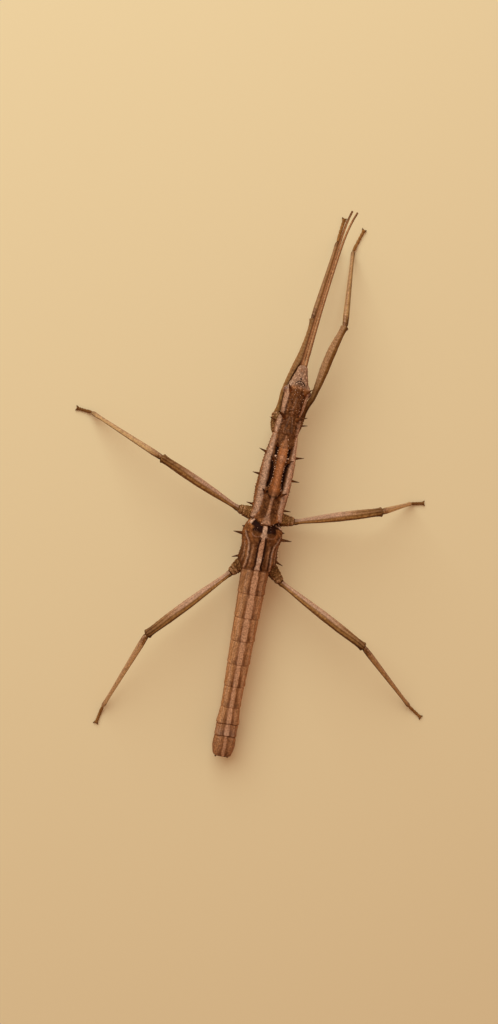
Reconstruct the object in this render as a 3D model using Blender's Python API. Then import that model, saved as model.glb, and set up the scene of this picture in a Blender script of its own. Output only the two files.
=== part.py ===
"""A giant stick insect as a still, life-size model, in metres.

It stands on six feet with its fore legs and feelers stretched ahead. +Y runs to the head,
+X to the insect's right, and the soles are flats on Z = 0. The body is laid out along Y
from the joint of the mesothorax and metathorax, then the whole is centred on its footprint.
"""

import math

import bmesh
import bpy
from mathutils import Matrix, Vector

MM = 0.001
GAP = 0.3 * MM  # clearance between neighbouring pieces

# --- Stance of the body -------------------------------------------------------------
AXIS_HEIGHT = 14.4 * MM  # body axis above the floor at the middle of the thorax
BODY_PITCH = math.radians(4.5)  # head end up
THORAX_YAW = math.radians(-0.8)  # minus turns the head end to +X
HEAD_YAW = math.radians(-1.6)  # further turn at the neck
METATHORAX_YAW = math.radians(1.2)  # plus swings the tail end to +X
METATHORAX_PITCH = math.radians(2.8)
ABDOMEN_YAW = math.radians(2.5)
ABDOMEN_PITCH = math.radians(5.2)

# --- Trunk: places along the axis and half widths, evenly spaced front to rear --------
HEAD_FRONT = 60.2 * MM
NECK = 41.3 * MM
PRO_REAR = 34.5 * MM
MESO_REAR = 0.0
META_REAR = -17.3 * MM

PRO_HALF_WIDTHS = [w * MM for w in (3.9, 4.5, 4.6, 4.6)]
MESO_HALF_WIDTHS = [w * MM for w in (4.6, 5.2, 5.7, 6.1, 6.3, 6.4, 6.1, 5.8, 5.9)]
META_HALF_WIDTHS = [w * MM for w in (6.7, 7.6, 7.6, 7.0, 6.8, 7.2, 7.5, 6.0)]
PRO_DEPTH = 0.88  # half height as a share of half width
MESO_DEPTH = 0.82
META_DEPTH = 0.74
ABDOMEN_DEPTH = 0.86

# --- Abdomen: length of each tergite, and half widths at the joints between them -------
TERGITE_LENGTHS = {
    2: 9.3 * MM,
    3: 9.4 * MM,
    4: 9.1 * MM,
    5: 9.2 * MM,
    6: 8.7 * MM,
    7: 8.3 * MM,
    8: 6.4 * MM,
    9: 4.8 * MM,
    10: 8.8 * MM,
}
JOINT_HALF_WIDTHS = [w * MM for w in (5.3, 5.0, 4.7, 4.45, 4.2, 3.9, 3.65, 4.25, 4.15, 3.5)]
LAST_TERGITE_SWELL = 1.09  # the last tergite is widest at its middle
TAIL_FLATTENING = 0.94  # of the depth, from the eighth tergite on
TERGITE_LIP = 0.12 * MM  # each tergite's rear edge stands proud
CERCUS_SPACING = 4.4 * MM
CERCUS_LENGTH = 1.2 * MM
CERCUS_RADIUS = 0.5 * MM

# --- Head -----------------------------------------------------------------------------
HEAD_LIFT = 0.7 * MM  # head axis above the thorax axis
# Share of the head's length from the neck, half width, half height, height of the centre.
HEAD_STATIONS = [
    (0.00, 3.3 * MM, 3.0 * MM, 0.0),
    (0.08, 4.1 * MM, 3.6 * MM, 0.0),
    (0.30, 4.5 * MM, 4.0 * MM, 0.1 * MM),
    (0.50, 4.4 * MM, 4.1 * MM, 0.3 * MM),
    (0.62, 3.8 * MM, 3.8 * MM, 0.2 * MM),
    (0.75, 3.0 * MM, 3.1 * MM, 0.1 * MM),
    (0.90, 2.1 * MM, 2.3 * MM, -0.1 * MM),
    (1.00, 1.7 * MM, 1.6 * MM, -0.2 * MM),
]
EYE_RADIUS = 1.45 * MM
EYE_PLACE = Vector((3.75 * MM, 50.6 * MM, 1.7 * MM))  # right eye, on the trunk's frame
MOUTH_REAR = HEAD_FRONT - 5.0 * MM
MOUTH_DROP = 2.1 * MM  # below the head's axis
MOUTH_LENGTH = 4.6 * MM
MOUTH_HALF_WIDTH = 1.5 * MM
MOUTH_HALF_HEIGHT = 1.0 * MM

# --- Feelers ---------------------------------------------------------------------------
FEELER_LENGTH = 59.5 * MM
FEELER_SPACINGS = [w * MM for w in (1.8, 1.5, 1.3, 1.25, 1.25, 1.5, 2.3)]  # base to tip
FEELER_RADII = [r * MM for r in (0.7, 0.6, 0.5, 0.45, 0.45, 0.42, 0.36)]
SCAPE_LENGTH = 3.2 * MM
FEELER_YAWS = [math.radians(a) for a in (0.6, 1.6, 2.2, 2.6, 3.0, 6.0, 18.0)]  # towards +X
FEELER_RISE = math.radians(-1.0)

# --- Legs: sizes by pair ------------------------------------------------------------------
# Lengths of femur (from the end of the coxa to the knee), tibia and tarsus, then the
# femur's radii at base, middle and knee, and the tibia's at knee and ankle.
LEG_SIZES = {
    "fore": dict(
        femur=36.6 * MM,
        tibia=40.0 * MM,
        tarsus=10.0 * MM,
        femur_radii=(0.95 * MM, 1.6 * MM, 1.35 * MM),
        tibia_radii=(1.15 * MM, 0.8 * MM),
        coxa_radii=(2.2 * MM, 1.75 * MM),
    ),
    "mid": dict(
        femur=34.6 * MM,
        tibia=37.5 * MM,
        tarsus=5.9 * MM,
        femur_radii=(0.95 * MM, 1.6 * MM, 1.4 * MM),
        tibia_radii=(1.05 * MM, 0.68 * MM),
        coxa_radii=(2.7 * MM, 1.8 * MM),
    ),
    "hind": dict(
        femur=39.2 * MM,
        tibia=42.6 * MM,
        tarsus=7.0 * MM,
        femur_radii=(1.0 * MM, 1.85 * MM, 1.5 * MM),
        tibia_radii=(1.1 * MM, 0.68 * MM),
        coxa_radii=(2.7 * MM, 1.85 * MM),
    ),
}
# On the trunk's axes: where the right-hand coxae start inside the thorax, and where each
# coxa ends. The coxae of one pair are not held quite alike.
COXA_ROOTS = {
    "fore": Vector((4.4, 35.9, -2.4)) * MM,
    "mid": Vector((3.6, 2.6, -1.0)) * MM,
    "hind": Vector((4.2, -14.8, -0.8)) * MM,
}
HIPS = {
    ("fore", "L"): Vector((-4.6, 42.2, -4.9)) * MM,
    ("fore", "R"): Vector((5.5, 42.6, -4.9)) * MM,
    ("mid", "L"): Vector((-11.0, 3.4, -1.7)) * MM,
    ("mid", "R"): Vector((11.6, 3.0, -1.7)) * MM,
    ("hind", "L"): Vector((-9.0, -21.0, -1.5)) * MM,
    ("hind", "R"): Vector((11.0, -21.2, -1.5)) * MM,
}
TROCHANTER_SWELL = 1.15  # of the femur's radius at its base
FORE_FEMUR_BOWS = {"L": 1.3 * MM, "R": 0.3 * MM}  # sideways, towards the midline
# Heading of femur, its rise, and headings of tibia and tarsus, in degrees from +X.
LEG_POSES = {
    ("fore", "L"): (81.2, 7.5, 81.2, 85.0),
    ("fore", "R"): (78.3, 13.0, 88.9, 74.0),
    ("mid", "L"): (159.1, 12.8, 157.7, 176.0),
    ("mid", "R"): (20.7, 34.4, 18.8, 14.0),
    ("hind", "L"): (-134.6, 18.0, -106.6, -100.3),
    ("hind", "R"): (-26.1, 14.0, -37.5, -31.0),
}
ANKLE_HEIGHT = 1.5 * MM
TARSUS_AXIS_HEIGHT = 0.5 * MM  # of the part that lies on the floor
TARSUS_RADIUS = 0.66 * MM
CLAW_LENGTH = 1.3 * MM
CLAW_RADIUS = 0.3 * MM
CLAW_SPREAD = math.radians(48)

# --- Spines: (half distance from the midline, place along the axis, height), then direction
# on the right-hand side, length and base radius. Each has a twin on the left.
SPINES = {
    "head": [((2.6, 50.9, 4.2), (0.45, 0.35, 0.82), 3.0, 0.75)],
    "prothorax": [
        ((2.3, 40.5, 3.0), (0.68, 0.36, 0.64), 4.2, 0.85),
        ((4.2, 38.6, -0.4), (0.95, 0.25, 0.1), 2.6, 0.55),
    ],
    "mesothorax": [
        ((5.4, 26.5, 0.9), (0.96, 0.24, 0.2), 3.7, 0.75),
        ((5.9, 18.0, 0.9), (0.97, 0.05, 0.2), 3.5, 0.75),
        ((5.7, 6.3, 0.2), (0.97, 0.1, 0.15), 3.3, 0.7),
        ((2.4, 29.9, 3.7), (0.45, 0.45, 0.77), 2.8, 0.6),
        ((3.0, 24.6, 4.0), (0.5, 0.3, 0.8), 3.3, 0.65),
        ((3.2, 12.0, 4.3), (0.5, 0.4, 0.76), 3.7, 0.75),
    ],
    "metathorax": [
        ((6.7, -2.3, 0.4), (0.98, 0.1, 0.15), 1.7, 1.0),
        ((7.0, -4.9, 1.0), (0.97, 0.06, 0.2), 4.6, 0.95),
        ((6.9, -13.4, 0.4), (0.93, -0.32, 0.15), 3.4, 0.75),
    ],
}
SPINE_ROOT = 0.6 * MM  # how far each spine starts inside its plate

# Relief of the thorax plates round the section: angle from the top, spread, and height as
# a share of the radius. The mesothorax has a median band, a furrow and a pale ridge.
MESO_RELIEF = (
    (0.0, math.radians(12), 0.05),
    (math.radians(27), math.radians(9), -0.13),
    (math.radians(48), math.radians(10), 0.05),
)
META_RELIEF = (
    (0.0, math.radians(10), 0.04),
    (math.radians(56), math.radians(9), 0.05),
)
NO_RELIEF = ()
BOXINESS = 2.25  # 2 is a plain ellipse

COLOURS = {  # base colour, roughness
    "cuticle_thorax": ((0.30, 0.17, 0.09, 1), 0.6),
    "cuticle_abdomen": ((0.42, 0.26, 0.16, 1), 0.6),
    "cuticle_leg": ((0.44, 0.32, 0.21, 1), 0.6),
    "feeler": ((0.50, 0.28, 0.17, 1), 0.6),
    "foot": ((0.12, 0.08, 0.05, 1), 0.5),
    "eye": ((0.06, 0.05, 0.06, 1), 0.25),
}


def start_scene():
    """Empties the scene and adds one collection for the insect and one for helpers."""
    for obj in list(bpy.data.objects):
        bpy.data.objects.remove(obj, do_unlink=True)
    folders = {}
    for name in ("giant_stick_insect", "helpers"):
        folders[name] = bpy.data.collections.new(name)
        bpy.context.scene.collection.children.link(folders[name])
    return folders


def make_materials():
    made = {}
    for name, (colour, roughness) in COLOURS.items():
        material = bpy.data.materials.new(name)
        material.use_nodes = True
        shader = material.node_tree.nodes["Principled BSDF"]
        shader.inputs["Base Color"].default_value = colour
        shader.inputs["Roughness"].default_value = roughness
        shader.inputs["Metallic"].default_value = 0.0
        material.diffuse_color = colour
        made[name] = material
    return made


FOLDERS = start_scene()
MATERIALS = make_materials()


def add_object(name, data, material=None, parent=None, helper=False):
    obj = bpy.data.objects.new(name, data)
    FOLDERS["helpers" if helper else "giant_stick_insect"].objects.link(obj)
    if material:
        data.materials.append(MATERIALS[material])
    obj.parent = parent
    if helper:
        obj.hide_render = True
        obj.display_type = "WIRE"
    return obj


def add_empty(name, place, pitch=0.0, yaw=0.0, parent=None):
    empty = add_object(name, None, parent=parent)
    empty.location = place
    empty.rotation_euler = (pitch, 0.0, yaw)
    return empty


def mesh_from(bm, name):
    bmesh.ops.recalc_face_normals(bm, faces=bm.faces)
    mesh = bpy.data.meshes.new(name)
    bm.to_mesh(mesh)
    bm.free()
    return mesh


def shade(obj, angle=math.radians(40)):
    obj.data.shade_smooth()
    obj.data.set_sharp_from_angle(angle=angle)


def boolean(obj, tool, operation):
    modifier = obj.modifiers.new(operation.lower(), "BOOLEAN")
    modifier.operation = operation
    modifier.object = tool
    modifier.solver = "EXACT"


def relief_factor(angle, marks):
    """Radius factor at an angle from the top; the marks are the same on both sides."""
    away = min(angle, 2 * math.pi - angle)
    return 1 + sum(size * math.exp(-(((away - place) / spread) ** 2)) for place, spread, size in marks)


def section(y, half_width, half_height, sides, marks=NO_RELIEF, lift=0.0, fade=1.0):
    """One ring of a plate: a boxy ellipse in the XZ plane, with its relief."""
    ring = []
    for i in range(sides):
        angle = 2 * math.pi * i / sides
        across, up = math.sin(angle), math.cos(angle)
        size = (abs(across) ** BOXINESS + abs(up) ** BOXINESS) ** (-1 / BOXINESS)
        size *= 1 + fade * (relief_factor(angle, marks) - 1)
        ring.append(Vector((half_width * size * across, y, half_height * size * up + lift)))
    return ring


def loft(name, rings):
    """A closed solid through rings of equal point counts, with flat ends."""
    bm = bmesh.new()
    loops = [[bm.verts.new(point) for point in ring] for ring in rings]
    for near, far in zip(loops, loops[1:]):
        for i, corner in enumerate(near):
            j = (i + 1) % len(near)
            bm.faces.new((corner, near[j], far[j], far[i]))
    bm.faces.new(loops[0])
    bm.faces.new(list(reversed(loops[-1])))
    return mesh_from(bm, name)


def between(values, share):
    """The value at a share, from 0 to 1, of an evenly spaced list."""
    at = share * (len(values) - 1)
    i = min(int(at), len(values) - 2)
    return values[i] + (values[i + 1] - values[i]) * (at - i)


def plate_rings(front, rear, half_widths, depth, sides, marks=NO_RELIEF, grow=0.0, steps=8):
    """Rings of a thorax plate. grow makes it larger all round, as a cutter's clearance."""
    rings = []
    for i in range(steps + 1):
        share = i / steps
        half_width = between(half_widths, share)
        y = (front + grow) + (rear - grow - front - grow) * share
        fade = math.sin(math.pi * share) ** 0.5 if 0 < i < steps else 0.0
        rings.append(
            section(y, half_width + grow, half_width * depth + grow, sides, marks, fade=fade)
        )
    return rings


def spine_tool(plate, frame):
    """All the spines of one plate as one hidden mesh, to be joined to it."""
    bm = bmesh.new()
    for place, direction, length, radius in SPINES[plate]:
        for side in (1, -1):
            base = Vector((side * place[0], place[1], place[2])) * MM
            way = Vector((side * direction[0], direction[1], direction[2])).normalized()
            length_in_all = length * MM + SPINE_ROOT
            middle = base + way * (length_in_all / 2 - SPINE_ROOT)
            turn = way.to_track_quat("Z", "Y").to_matrix().to_4x4()
            bmesh.ops.create_cone(
                bm,
                cap_ends=True,
                segments=6,
                radius1=radius * MM,
                radius2=0.1 * MM,
                depth=length_in_all,
                matrix=Matrix.Translation(middle) @ turn,
            )
    return add_object(f"{plate}_spines", mesh_from(bm, plate), parent=frame, helper=True)


def add_plate(name, front, rear, half_widths, depth, sides, marks, steps, frame, ahead=None):
    """One thorax plate with its spines, cut back to the plate ahead where the body bends.

    Returns the cutter that keeps other pieces clear of it.
    """
    inset = GAP / 2
    rings = plate_rings(front - inset, rear + inset, half_widths, depth, sides, marks, 0.0, steps)
    plate = add_object(name, loft(name, rings), "cuticle_thorax", frame)
    boolean(plate, spine_tool(name, frame), "UNION")
    if ahead:
        boolean(plate, ahead, "DIFFERENCE")
    shade(plate)
    wide = plate_rings(front, rear, half_widths, depth, sides, marks, GAP, steps)
    return add_object(f"{name}_clearance", loft(name, wide), parent=frame, helper=True)


def head_rings(grow=0.0):
    length = HEAD_FRONT - NECK - GAP / 2
    rings = []
    for share, half_width, half_height, lift in HEAD_STATIONS:
        end = grow * (2 * share - 1) if share in (0.0, 1.0) else 0.0
        y = NECK + GAP / 2 + length * share + end
        rings.append(section(y, half_width + grow, half_height + grow, 20, lift=HEAD_LIFT + lift))
    return rings


def ball(name, place, radius, frame, material=None):
    bm = bmesh.new()
    bmesh.ops.create_uvsphere(bm, u_segments=16, v_segments=10, radius=radius)
    obj = add_object(name, mesh_from(bm, name), material, frame, helper=material is None)
    obj.location = place
    obj.rotation_euler = (0.0, math.pi / 2, 0.0)
    return obj


def add_head(frame):
    """Head capsule with its two horns and eye sockets, the eyes, and the mouthparts."""
    head = add_object("head", loft("head", head_rings()), "cuticle_thorax", frame)
    boolean(head, spine_tool("head", frame), "UNION")
    for side, mark in ((1, "R"), (-1, "L")):
        place = Vector((side * EYE_PLACE.x, EYE_PLACE.y, EYE_PLACE.z))
        boolean(head, ball(f"socket_{mark}", place, EYE_RADIUS + GAP, frame), "DIFFERENCE")
        shade(ball(f"eye_{mark}", place, EYE_RADIUS, frame, "eye"))
    clearance = add_object("head_clearance", loft("head", head_rings(GAP)), parent=frame, helper=True)
    boolean(head, add_mouthparts(frame, clearance), "DIFFERENCE")
    shade(head)
    return clearance


def add_mouthparts(frame, clearance):
    """Labrum and jaws as one blunt wedge below the front of the head, seated in a notch."""
    rings, cutter_rings = [], []
    for share in (0.0, 0.3, 0.7, 1.0):
        half_width = MOUTH_HALF_WIDTH * (1 - 0.35 * share**2)
        half_height = MOUTH_HALF_HEIGHT * (1 - 0.3 * share)
        y = MOUTH_REAR + MOUTH_LENGTH * share
        lift = HEAD_LIFT - MOUTH_DROP
        rings.append(section(y, half_width, half_height, 12, lift=lift))
        reach = GAP * (2 * share - 1) if share in (0.0, 1.0) else 0.0
        cutter_rings.append(
            section(y + reach, half_width + GAP, half_height + GAP, 12, lift=lift)
        )
    mouth = add_object("mouthparts", loft("mouthparts", rings), "cuticle_thorax", frame)
    shade(mouth)
    return add_object("mouth_notch", loft("mouth_notch", cutter_rings), parent=frame, helper=True)


def tube(name, points, radii, material, parent=None, sides=10, helper=False):
    """A tapered round rod through points: a poly curve with a bevel and filled caps."""
    curve = bpy.data.curves.new(name, "CURVE")
    curve.dimensions = "3D"
    curve.bevel_depth = max(radii)
    curve.bevel_resolution = sides // 2 - 2
    curve.use_fill_caps = True
    spline = curve.splines.new("POLY")
    spline.points.add(len(points) - 1)
    for spot, place, radius in zip(spline.points, points, radii):
        spot.co = (*place, 1.0)
        spot.radius = radius / curve.bevel_depth
    return add_object(name, curve, material, parent, helper)


def as_mesh(obj):
    """Replaces a curve object by a mesh object of the same name, with its caps welded."""
    name, parent = obj.name, obj.parent
    helper = obj.hide_render
    graph = bpy.context.evaluated_depsgraph_get()
    mesh = bpy.data.meshes.new_from_object(obj.evaluated_get(graph))
    bm = bmesh.new()
    bm.from_mesh(mesh)
    bmesh.ops.remove_doubles(bm, verts=bm.verts, dist=0.01 * MM)
    bmesh.ops.recalc_face_normals(bm, faces=bm.faces)
    bm.to_mesh(mesh)
    bm.free()
    place = obj.matrix_world.copy()
    bpy.data.objects.remove(obj, do_unlink=True)
    made = add_object(name, mesh, parent=parent, helper=helper)
    made.matrix_world = place
    return made


def add_feeler(mark, frame):
    """A long feeler: a stout first joint, then a thread that tapers and drifts to +X."""
    side = 1 if mark == "R" else -1
    steps = 20
    step = FEELER_LENGTH / steps
    middle = Vector((0, HEAD_FRONT + GAP, HEAD_LIFT - 0.1 * MM))
    points, radii = [], []
    for i in range(steps + 1):
        share = i / steps
        aside = side * between(FEELER_SPACINGS, share) / 2
        points.append(middle + Vector((aside, 0, 0)))
        radii.append(between(FEELER_RADII, share))
        yaw = between(FEELER_YAWS, share)
        way = Vector((math.sin(yaw), math.cos(yaw), math.sin(FEELER_RISE)))
        middle += way.normalized() * step
    neck = round(SCAPE_LENGTH / step)
    radii[neck] *= 0.8
    tube(f"feeler_{mark}", points, radii, "feeler", frame, sides=8)


def add_abdomen(frame):
    """Tergites 2 to 10, each flaring to a lip over the next, and the two cerci."""
    front = META_REAR
    clearance = None
    for i, (number, length) in enumerate(TERGITE_LENGTHS.items()):
        name = f"abdomen_{number}"
        near, far = JOINT_HALF_WIDTHS[i], JOINT_HALF_WIDTHS[i + 1]
        stations = [(0.0, near - TERGITE_LIP), (0.5, (near + far) / 2), (1.0, far + TERGITE_LIP)]
        if number == 10:
            wide = near * LAST_TERGITE_SWELL
            stations = [(0.0, near * 0.93), (0.25, near), (0.55, wide), (0.82, far * 1.13)]
            stations += [(0.96, far), (1.0, far * 0.82)]
        for grow in (0.0, GAP):
            rings = []
            for share, half_width in stations:
                y = (front - GAP / 2) - (length - GAP) * share - META_REAR
                y += grow * (1 - 2 * share)
                depth = ABDOMEN_DEPTH * (TAIL_FLATTENING if number > 7 else 1.0)
                rings.append(section(y, half_width + grow, half_width * depth + grow, 16))
            if grow == 0.0:
                shade(add_object(name, loft(name, rings), "cuticle_abdomen", frame))
            elif number == 2:
                clearance = add_object(f"{name}_clearance", loft(name, rings), parent=frame, helper=True)
        front -= length
    tail = front - META_REAR
    for mark, side in (("R", 1), ("L", -1)):
        root = Vector((side * CERCUS_SPACING / 2, tail - GAP / 2, -0.3 * MM))
        tip = root + Vector((side * 0.2 * MM, -CERCUS_LENGTH, 0.1 * MM))
        radii = [CERCUS_RADIUS, CERCUS_RADIUS * 0.9, CERCUS_RADIUS * 0.6]
        tube(f"cercus_{mark}", [root, root.lerp(tip, 0.6), tip], radii, "foot", frame, 8)
    return clearance


def heading(azimuth, rise):
    """Unit vector from angles in degrees: azimuth from +X, rise above level."""
    a, e = math.radians(azimuth), math.radians(rise)
    return Vector((math.cos(e) * math.cos(a), math.cos(e) * math.sin(a), math.sin(e)))


def coxa_places(pair, mark, frame):
    """Root and outer end of one coxa, in the world frame."""
    root = COXA_ROOTS[pair].copy()
    root.x *= 1 if mark == "R" else -1
    return frame.matrix_world @ root, frame.matrix_world @ HIPS[pair, mark]


def leg_places(pair, mark, hip):
    """Knee, ankle and toe of one leg, in the world frame."""
    size = LEG_SIZES[pair]
    femur_azimuth, femur_rise, tibia_azimuth, tarsus_azimuth = LEG_POSES[pair, mark]
    knee = hip + heading(femur_azimuth, femur_rise) * size["femur"]
    drop = knee.z - ANKLE_HEIGHT
    run = math.sqrt(size["tibia"] ** 2 - drop**2)
    ankle = knee + heading(tibia_azimuth, 0) * run - Vector((0, 0, drop))
    toe = ankle + heading(tarsus_azimuth, 0) * size["tarsus"]
    toe.z = TARSUS_AXIS_HEIGHT
    return knee, ankle, toe


def add_coxa(pair, mark, root, end, clearances):
    """The hip joint's stout first piece, cut back to the thorax with a thin gap."""
    thick, thin = LEG_SIZES[pair]["coxa_radii"]
    points = [root.lerp(end, share) for share in (0.0, 0.4, 0.65, 0.87, 1.0)]
    radii = [thick * 0.7, thick, (thick + thin) / 2, thin * 1.1, thin]
    coxa = as_mesh(tube(f"coxa_{pair}_{mark}", points, radii, None, sides=12))
    coxa.data.materials.append(MATERIALS["cuticle_leg"])
    for tool in clearances:
        boolean(coxa, tool, "DIFFERENCE")
    shade(coxa)


def add_femur(pair, mark, hip, knee):
    """Round trochanter seated in the coxa, and the femur, ending in a rounded knee.

    Returns cutters for the coxa and the tibia: the trochanter and the knee grown by the gap.
    """
    size = LEG_SIZES[pair]
    base, middle, end = size["femur_radii"]
    way = (knee - hip).normalized()
    inward = Vector((0, 0, 1)).cross(way) * (1 if mark == "R" else -1)
    bow = FORE_FEMUR_BOWS[mark] if pair == "fore" else 0.0
    length = (knee - hip).length
    ball = base * TROCHANTER_SWELL
    trochanter = [(-0.72 * ball, 0.66 * ball), (-0.3 * ball, 0.95 * ball), (0.35 * ball, ball)]
    seat = [hip + way * (along - GAP * (i == 0)) for i, (along, _) in enumerate(trochanter)]
    seat.append(hip + way * ball * 3)
    seat_radii = [radius + GAP for _, radius in trochanter] + [ball + GAP]
    seat_tool = as_mesh(tube(f"seat_{pair}_{mark}", seat, seat_radii, None, helper=True))
    profile = [(along / length, radius) for along, radius in trochanter] + [
        (ball * 1.2 / length, base * 1.02),
        (0.12, base * 1.05),
        (0.30, (base + middle) / 2 * 1.04),
        (0.52, middle),
        (0.74, middle * 0.98),
        (0.92, end),
    ]
    knob = [(-0.4 * end, end * 1.03), (0.2 * end, end), (0.65 * end, end * 0.75), (0.9 * end, end * 0.4)]
    profile += [(1 + along / length, radius) for along, radius in knob]
    knee_places = [knee - way * end * 3]
    knee_places += [knee + way * (along + GAP * (i == 3)) for i, (along, _) in enumerate(knob)]
    knee_radii = [end + GAP] + [radius + GAP for _, radius in knob]
    knee_tool = as_mesh(tube(f"knee_{pair}_{mark}", knee_places, knee_radii, None, helper=True))
    points, radii = [], []
    for share, radius in profile:
        bend = bow * math.sin(math.pi * min(max(share, 0.0), 1.0) ** 1.6)
        points.append(hip + way * (length * share) + inward * bend)
        radii.append(radius)
    tube(f"femur_{pair}_{mark}", points, radii, "cuticle_leg")
    return seat_tool, knee_tool


def add_tibia(pair, mark, knee, ankle, knee_tool):
    """Slender shank, hollowed at the top to sit round the end of the femur."""
    size = LEG_SIZES[pair]
    top, bottom = size["tibia_radii"]
    way = (ankle - knee).normalized()
    start = size["femur_radii"][2] * 0.6
    length = (ankle - knee).length
    profile = [
        (start / length, top * 0.7),
        (start / length + 0.04, top * 0.95),
        (0.14, top),
        (0.5, (top + bottom) / 2 * 0.95),
        (0.85, bottom * 0.92),
        (0.96, bottom * 1.12),
        (1.0 - GAP / length, bottom * 0.85),
    ]
    points = [knee + way * (length * share) for share, _ in profile]
    radii = [radius for _, radius in profile]
    tibia = as_mesh(tube(f"tibia_{pair}_{mark}", points, radii, None))
    tibia.data.materials.append(MATERIALS["cuticle_leg"])
    boolean(tibia, knee_tool, "DIFFERENCE")
    shade(tibia)


def claw_tool(pair, mark, toe, way):
    """Two curved claws and the pad between them, as one hidden mesh."""
    bm = bmesh.new()
    across = Vector((-way.y, way.x, 0))
    for side in (1, -1):
        side_way = Matrix.Rotation(side * CLAW_SPREAD, 3, "Z") @ way
        middle = toe + across * (side * CLAW_RADIUS * 1.4) + side_way * (CLAW_LENGTH / 2)
        spin = side_way.to_track_quat("Z", "Y").to_matrix().to_4x4()
        bmesh.ops.create_cone(
            bm,
            cap_ends=True,
            segments=8,
            radius1=CLAW_RADIUS * 1.3,
            radius2=CLAW_RADIUS * 0.7,
            depth=CLAW_LENGTH,
            matrix=Matrix.Translation(middle) @ spin,
        )
    return add_object(f"claws_{pair}_{mark}", mesh_from(bm, "claws"), helper=True)


def add_tarsus(pair, mark, ankle, toe, floor_tool):
    """Five foot joints that swell at their far ends, and claws, all flat underneath."""
    flat_way = Vector((toe.x - ankle.x, toe.y - ankle.y, 0)).normalized()
    reach = (toe - ankle).length
    points, radii = [], []
    ends = (0.36, 0.54, 0.70, 0.84, 1.0)
    begin = GAP / reach
    for end in ends:
        for share, swell in ((begin + 0.02, 0.84), (end - 0.03, 1.08)):
            height = max(TARSUS_AXIS_HEIGHT, ANKLE_HEIGHT + (TARSUS_AXIS_HEIGHT - ANKLE_HEIGHT) * share / 0.4)
            place = ankle + flat_way * (reach * share)
            place.z = height
            points.append(place)
            radii.append(TARSUS_RADIUS * swell)
        begin = end
    tarsus = as_mesh(tube(f"tarsus_{pair}_{mark}", points, radii, None, sides=8))
    tarsus.data.materials.append(MATERIALS["foot"])
    boolean(tarsus, claw_tool(pair, mark, points[-1] - flat_way * 0.3 * MM, flat_way), "UNION")
    boolean(tarsus, floor_tool, "DIFFERENCE")
    shade(tarsus)


def floor_cutter():
    """A slab under the floor that trims the soles flat."""
    bm = bmesh.new()
    bmesh.ops.create_cube(bm, size=1.0)
    slab = add_object("floor_cutter", mesh_from(bm, "floor_cutter"), helper=True)
    slab.scale = (0.4, 0.4, 0.01)
    slab.location = (0, 0, -0.005)
    return slab


def add_leg(pair, mark, frame, clearances, floor_tool):
    root, hip = coxa_places(pair, mark, frame)
    knee, ankle, toe = leg_places(pair, mark, hip)
    seat_tool, knee_tool = add_femur(pair, mark, hip, knee)
    add_coxa(pair, mark, root, hip, clearances + [seat_tool])
    add_tibia(pair, mark, knee, ankle, knee_tool)
    add_tarsus(pair, mark, ankle, toe, floor_tool)


def centre_on_footprint(root):
    """Moves the whole so that the origin is under the middle of its bounding box."""
    bpy.context.view_layer.update()
    graph = bpy.context.evaluated_depsgraph_get()
    low, high = Vector((1, 1, 1)), Vector((-1, -1, -1))
    for obj in FOLDERS["giant_stick_insect"].objects:
        if obj.type == "EMPTY":
            continue
        solid = obj.evaluated_get(graph)
        mesh = solid.to_mesh()
        for vertex in mesh.vertices:
            place = solid.matrix_world @ vertex.co
            low = Vector(map(min, low, place))
            high = Vector(map(max, high, place))
        solid.to_mesh_clear()
    middle = (low + high) / 2
    root.location = (-middle.x, -middle.y, 0.0)
    bpy.context.view_layer.update()
    print("size in mm:", [round(v / MM, 1) for v in high - low])


def build():
    thorax = add_empty("thorax_frame", (0, 0, AXIS_HEIGHT), BODY_PITCH, THORAX_YAW)
    rear = add_empty("metathorax_frame", (0, 0, AXIS_HEIGHT), METATHORAX_PITCH, METATHORAX_YAW)
    flex = ABDOMEN_PITCH - METATHORAX_PITCH, ABDOMEN_YAW - METATHORAX_YAW
    abdomen = add_empty("abdomen_frame", (0, META_REAR, 0), *flex, parent=rear)
    neck = Vector((0, NECK, 0))
    swing = neck - Matrix.Rotation(HEAD_YAW, 3, "Z") @ neck
    head = add_empty("head_frame", swing, 0.0, HEAD_YAW, thorax)
    bpy.context.view_layer.update()
    clearances = {"head": add_head(head), "abdomen_2": add_abdomen(abdomen)}
    plates = (
        ("prothorax", NECK, PRO_REAR, PRO_HALF_WIDTHS, PRO_DEPTH, 20, NO_RELIEF, 3, thorax),
        ("mesothorax", PRO_REAR, MESO_REAR, MESO_HALF_WIDTHS, MESO_DEPTH, 28, MESO_RELIEF, 8, thorax),
        ("metathorax", MESO_REAR, META_REAR, META_HALF_WIDTHS, META_DEPTH, 24, META_RELIEF, 7, rear),
    )
    for name, *sizes in plates:
        ahead = clearances.get("mesothorax")
        clearances[name] = add_plate(name, *sizes, ahead)
    for mark in ("R", "L"):
        add_feeler(mark, head)
    floor_tool = floor_cutter()
    near = {
        "fore": (thorax, ("prothorax", "head", "mesothorax")),
        "mid": (thorax, ("mesothorax", "metathorax")),
        "hind": (rear, ("metathorax", "abdomen_2")),
    }
    for pair, (frame, names) in near.items():
        for mark in ("R", "L"):
            add_leg(pair, mark, frame, [clearances[name] for name in names], floor_tool)
    root = add_empty("insect", (0, 0, 0))
    for folder in FOLDERS.values():
        for obj in folder.objects:
            if obj.parent is None and obj is not root:
                obj.parent = root
    centre_on_footprint(root)


build()
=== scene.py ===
# %% [markdown]
# # A giant stick insect, life size
#
# This lesson dresses the imported solids of a large wingless stick insect. The solids say where
# everything is. The cells below build the surface: a ridged and granulated body, spines, eyes,
# ringed feelers and keeled legs, each with a material made of nodes. The first cell loads the
# solids, puts their places into their meshes, and gives a helper for the box of one solid.

import math
import random

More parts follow.
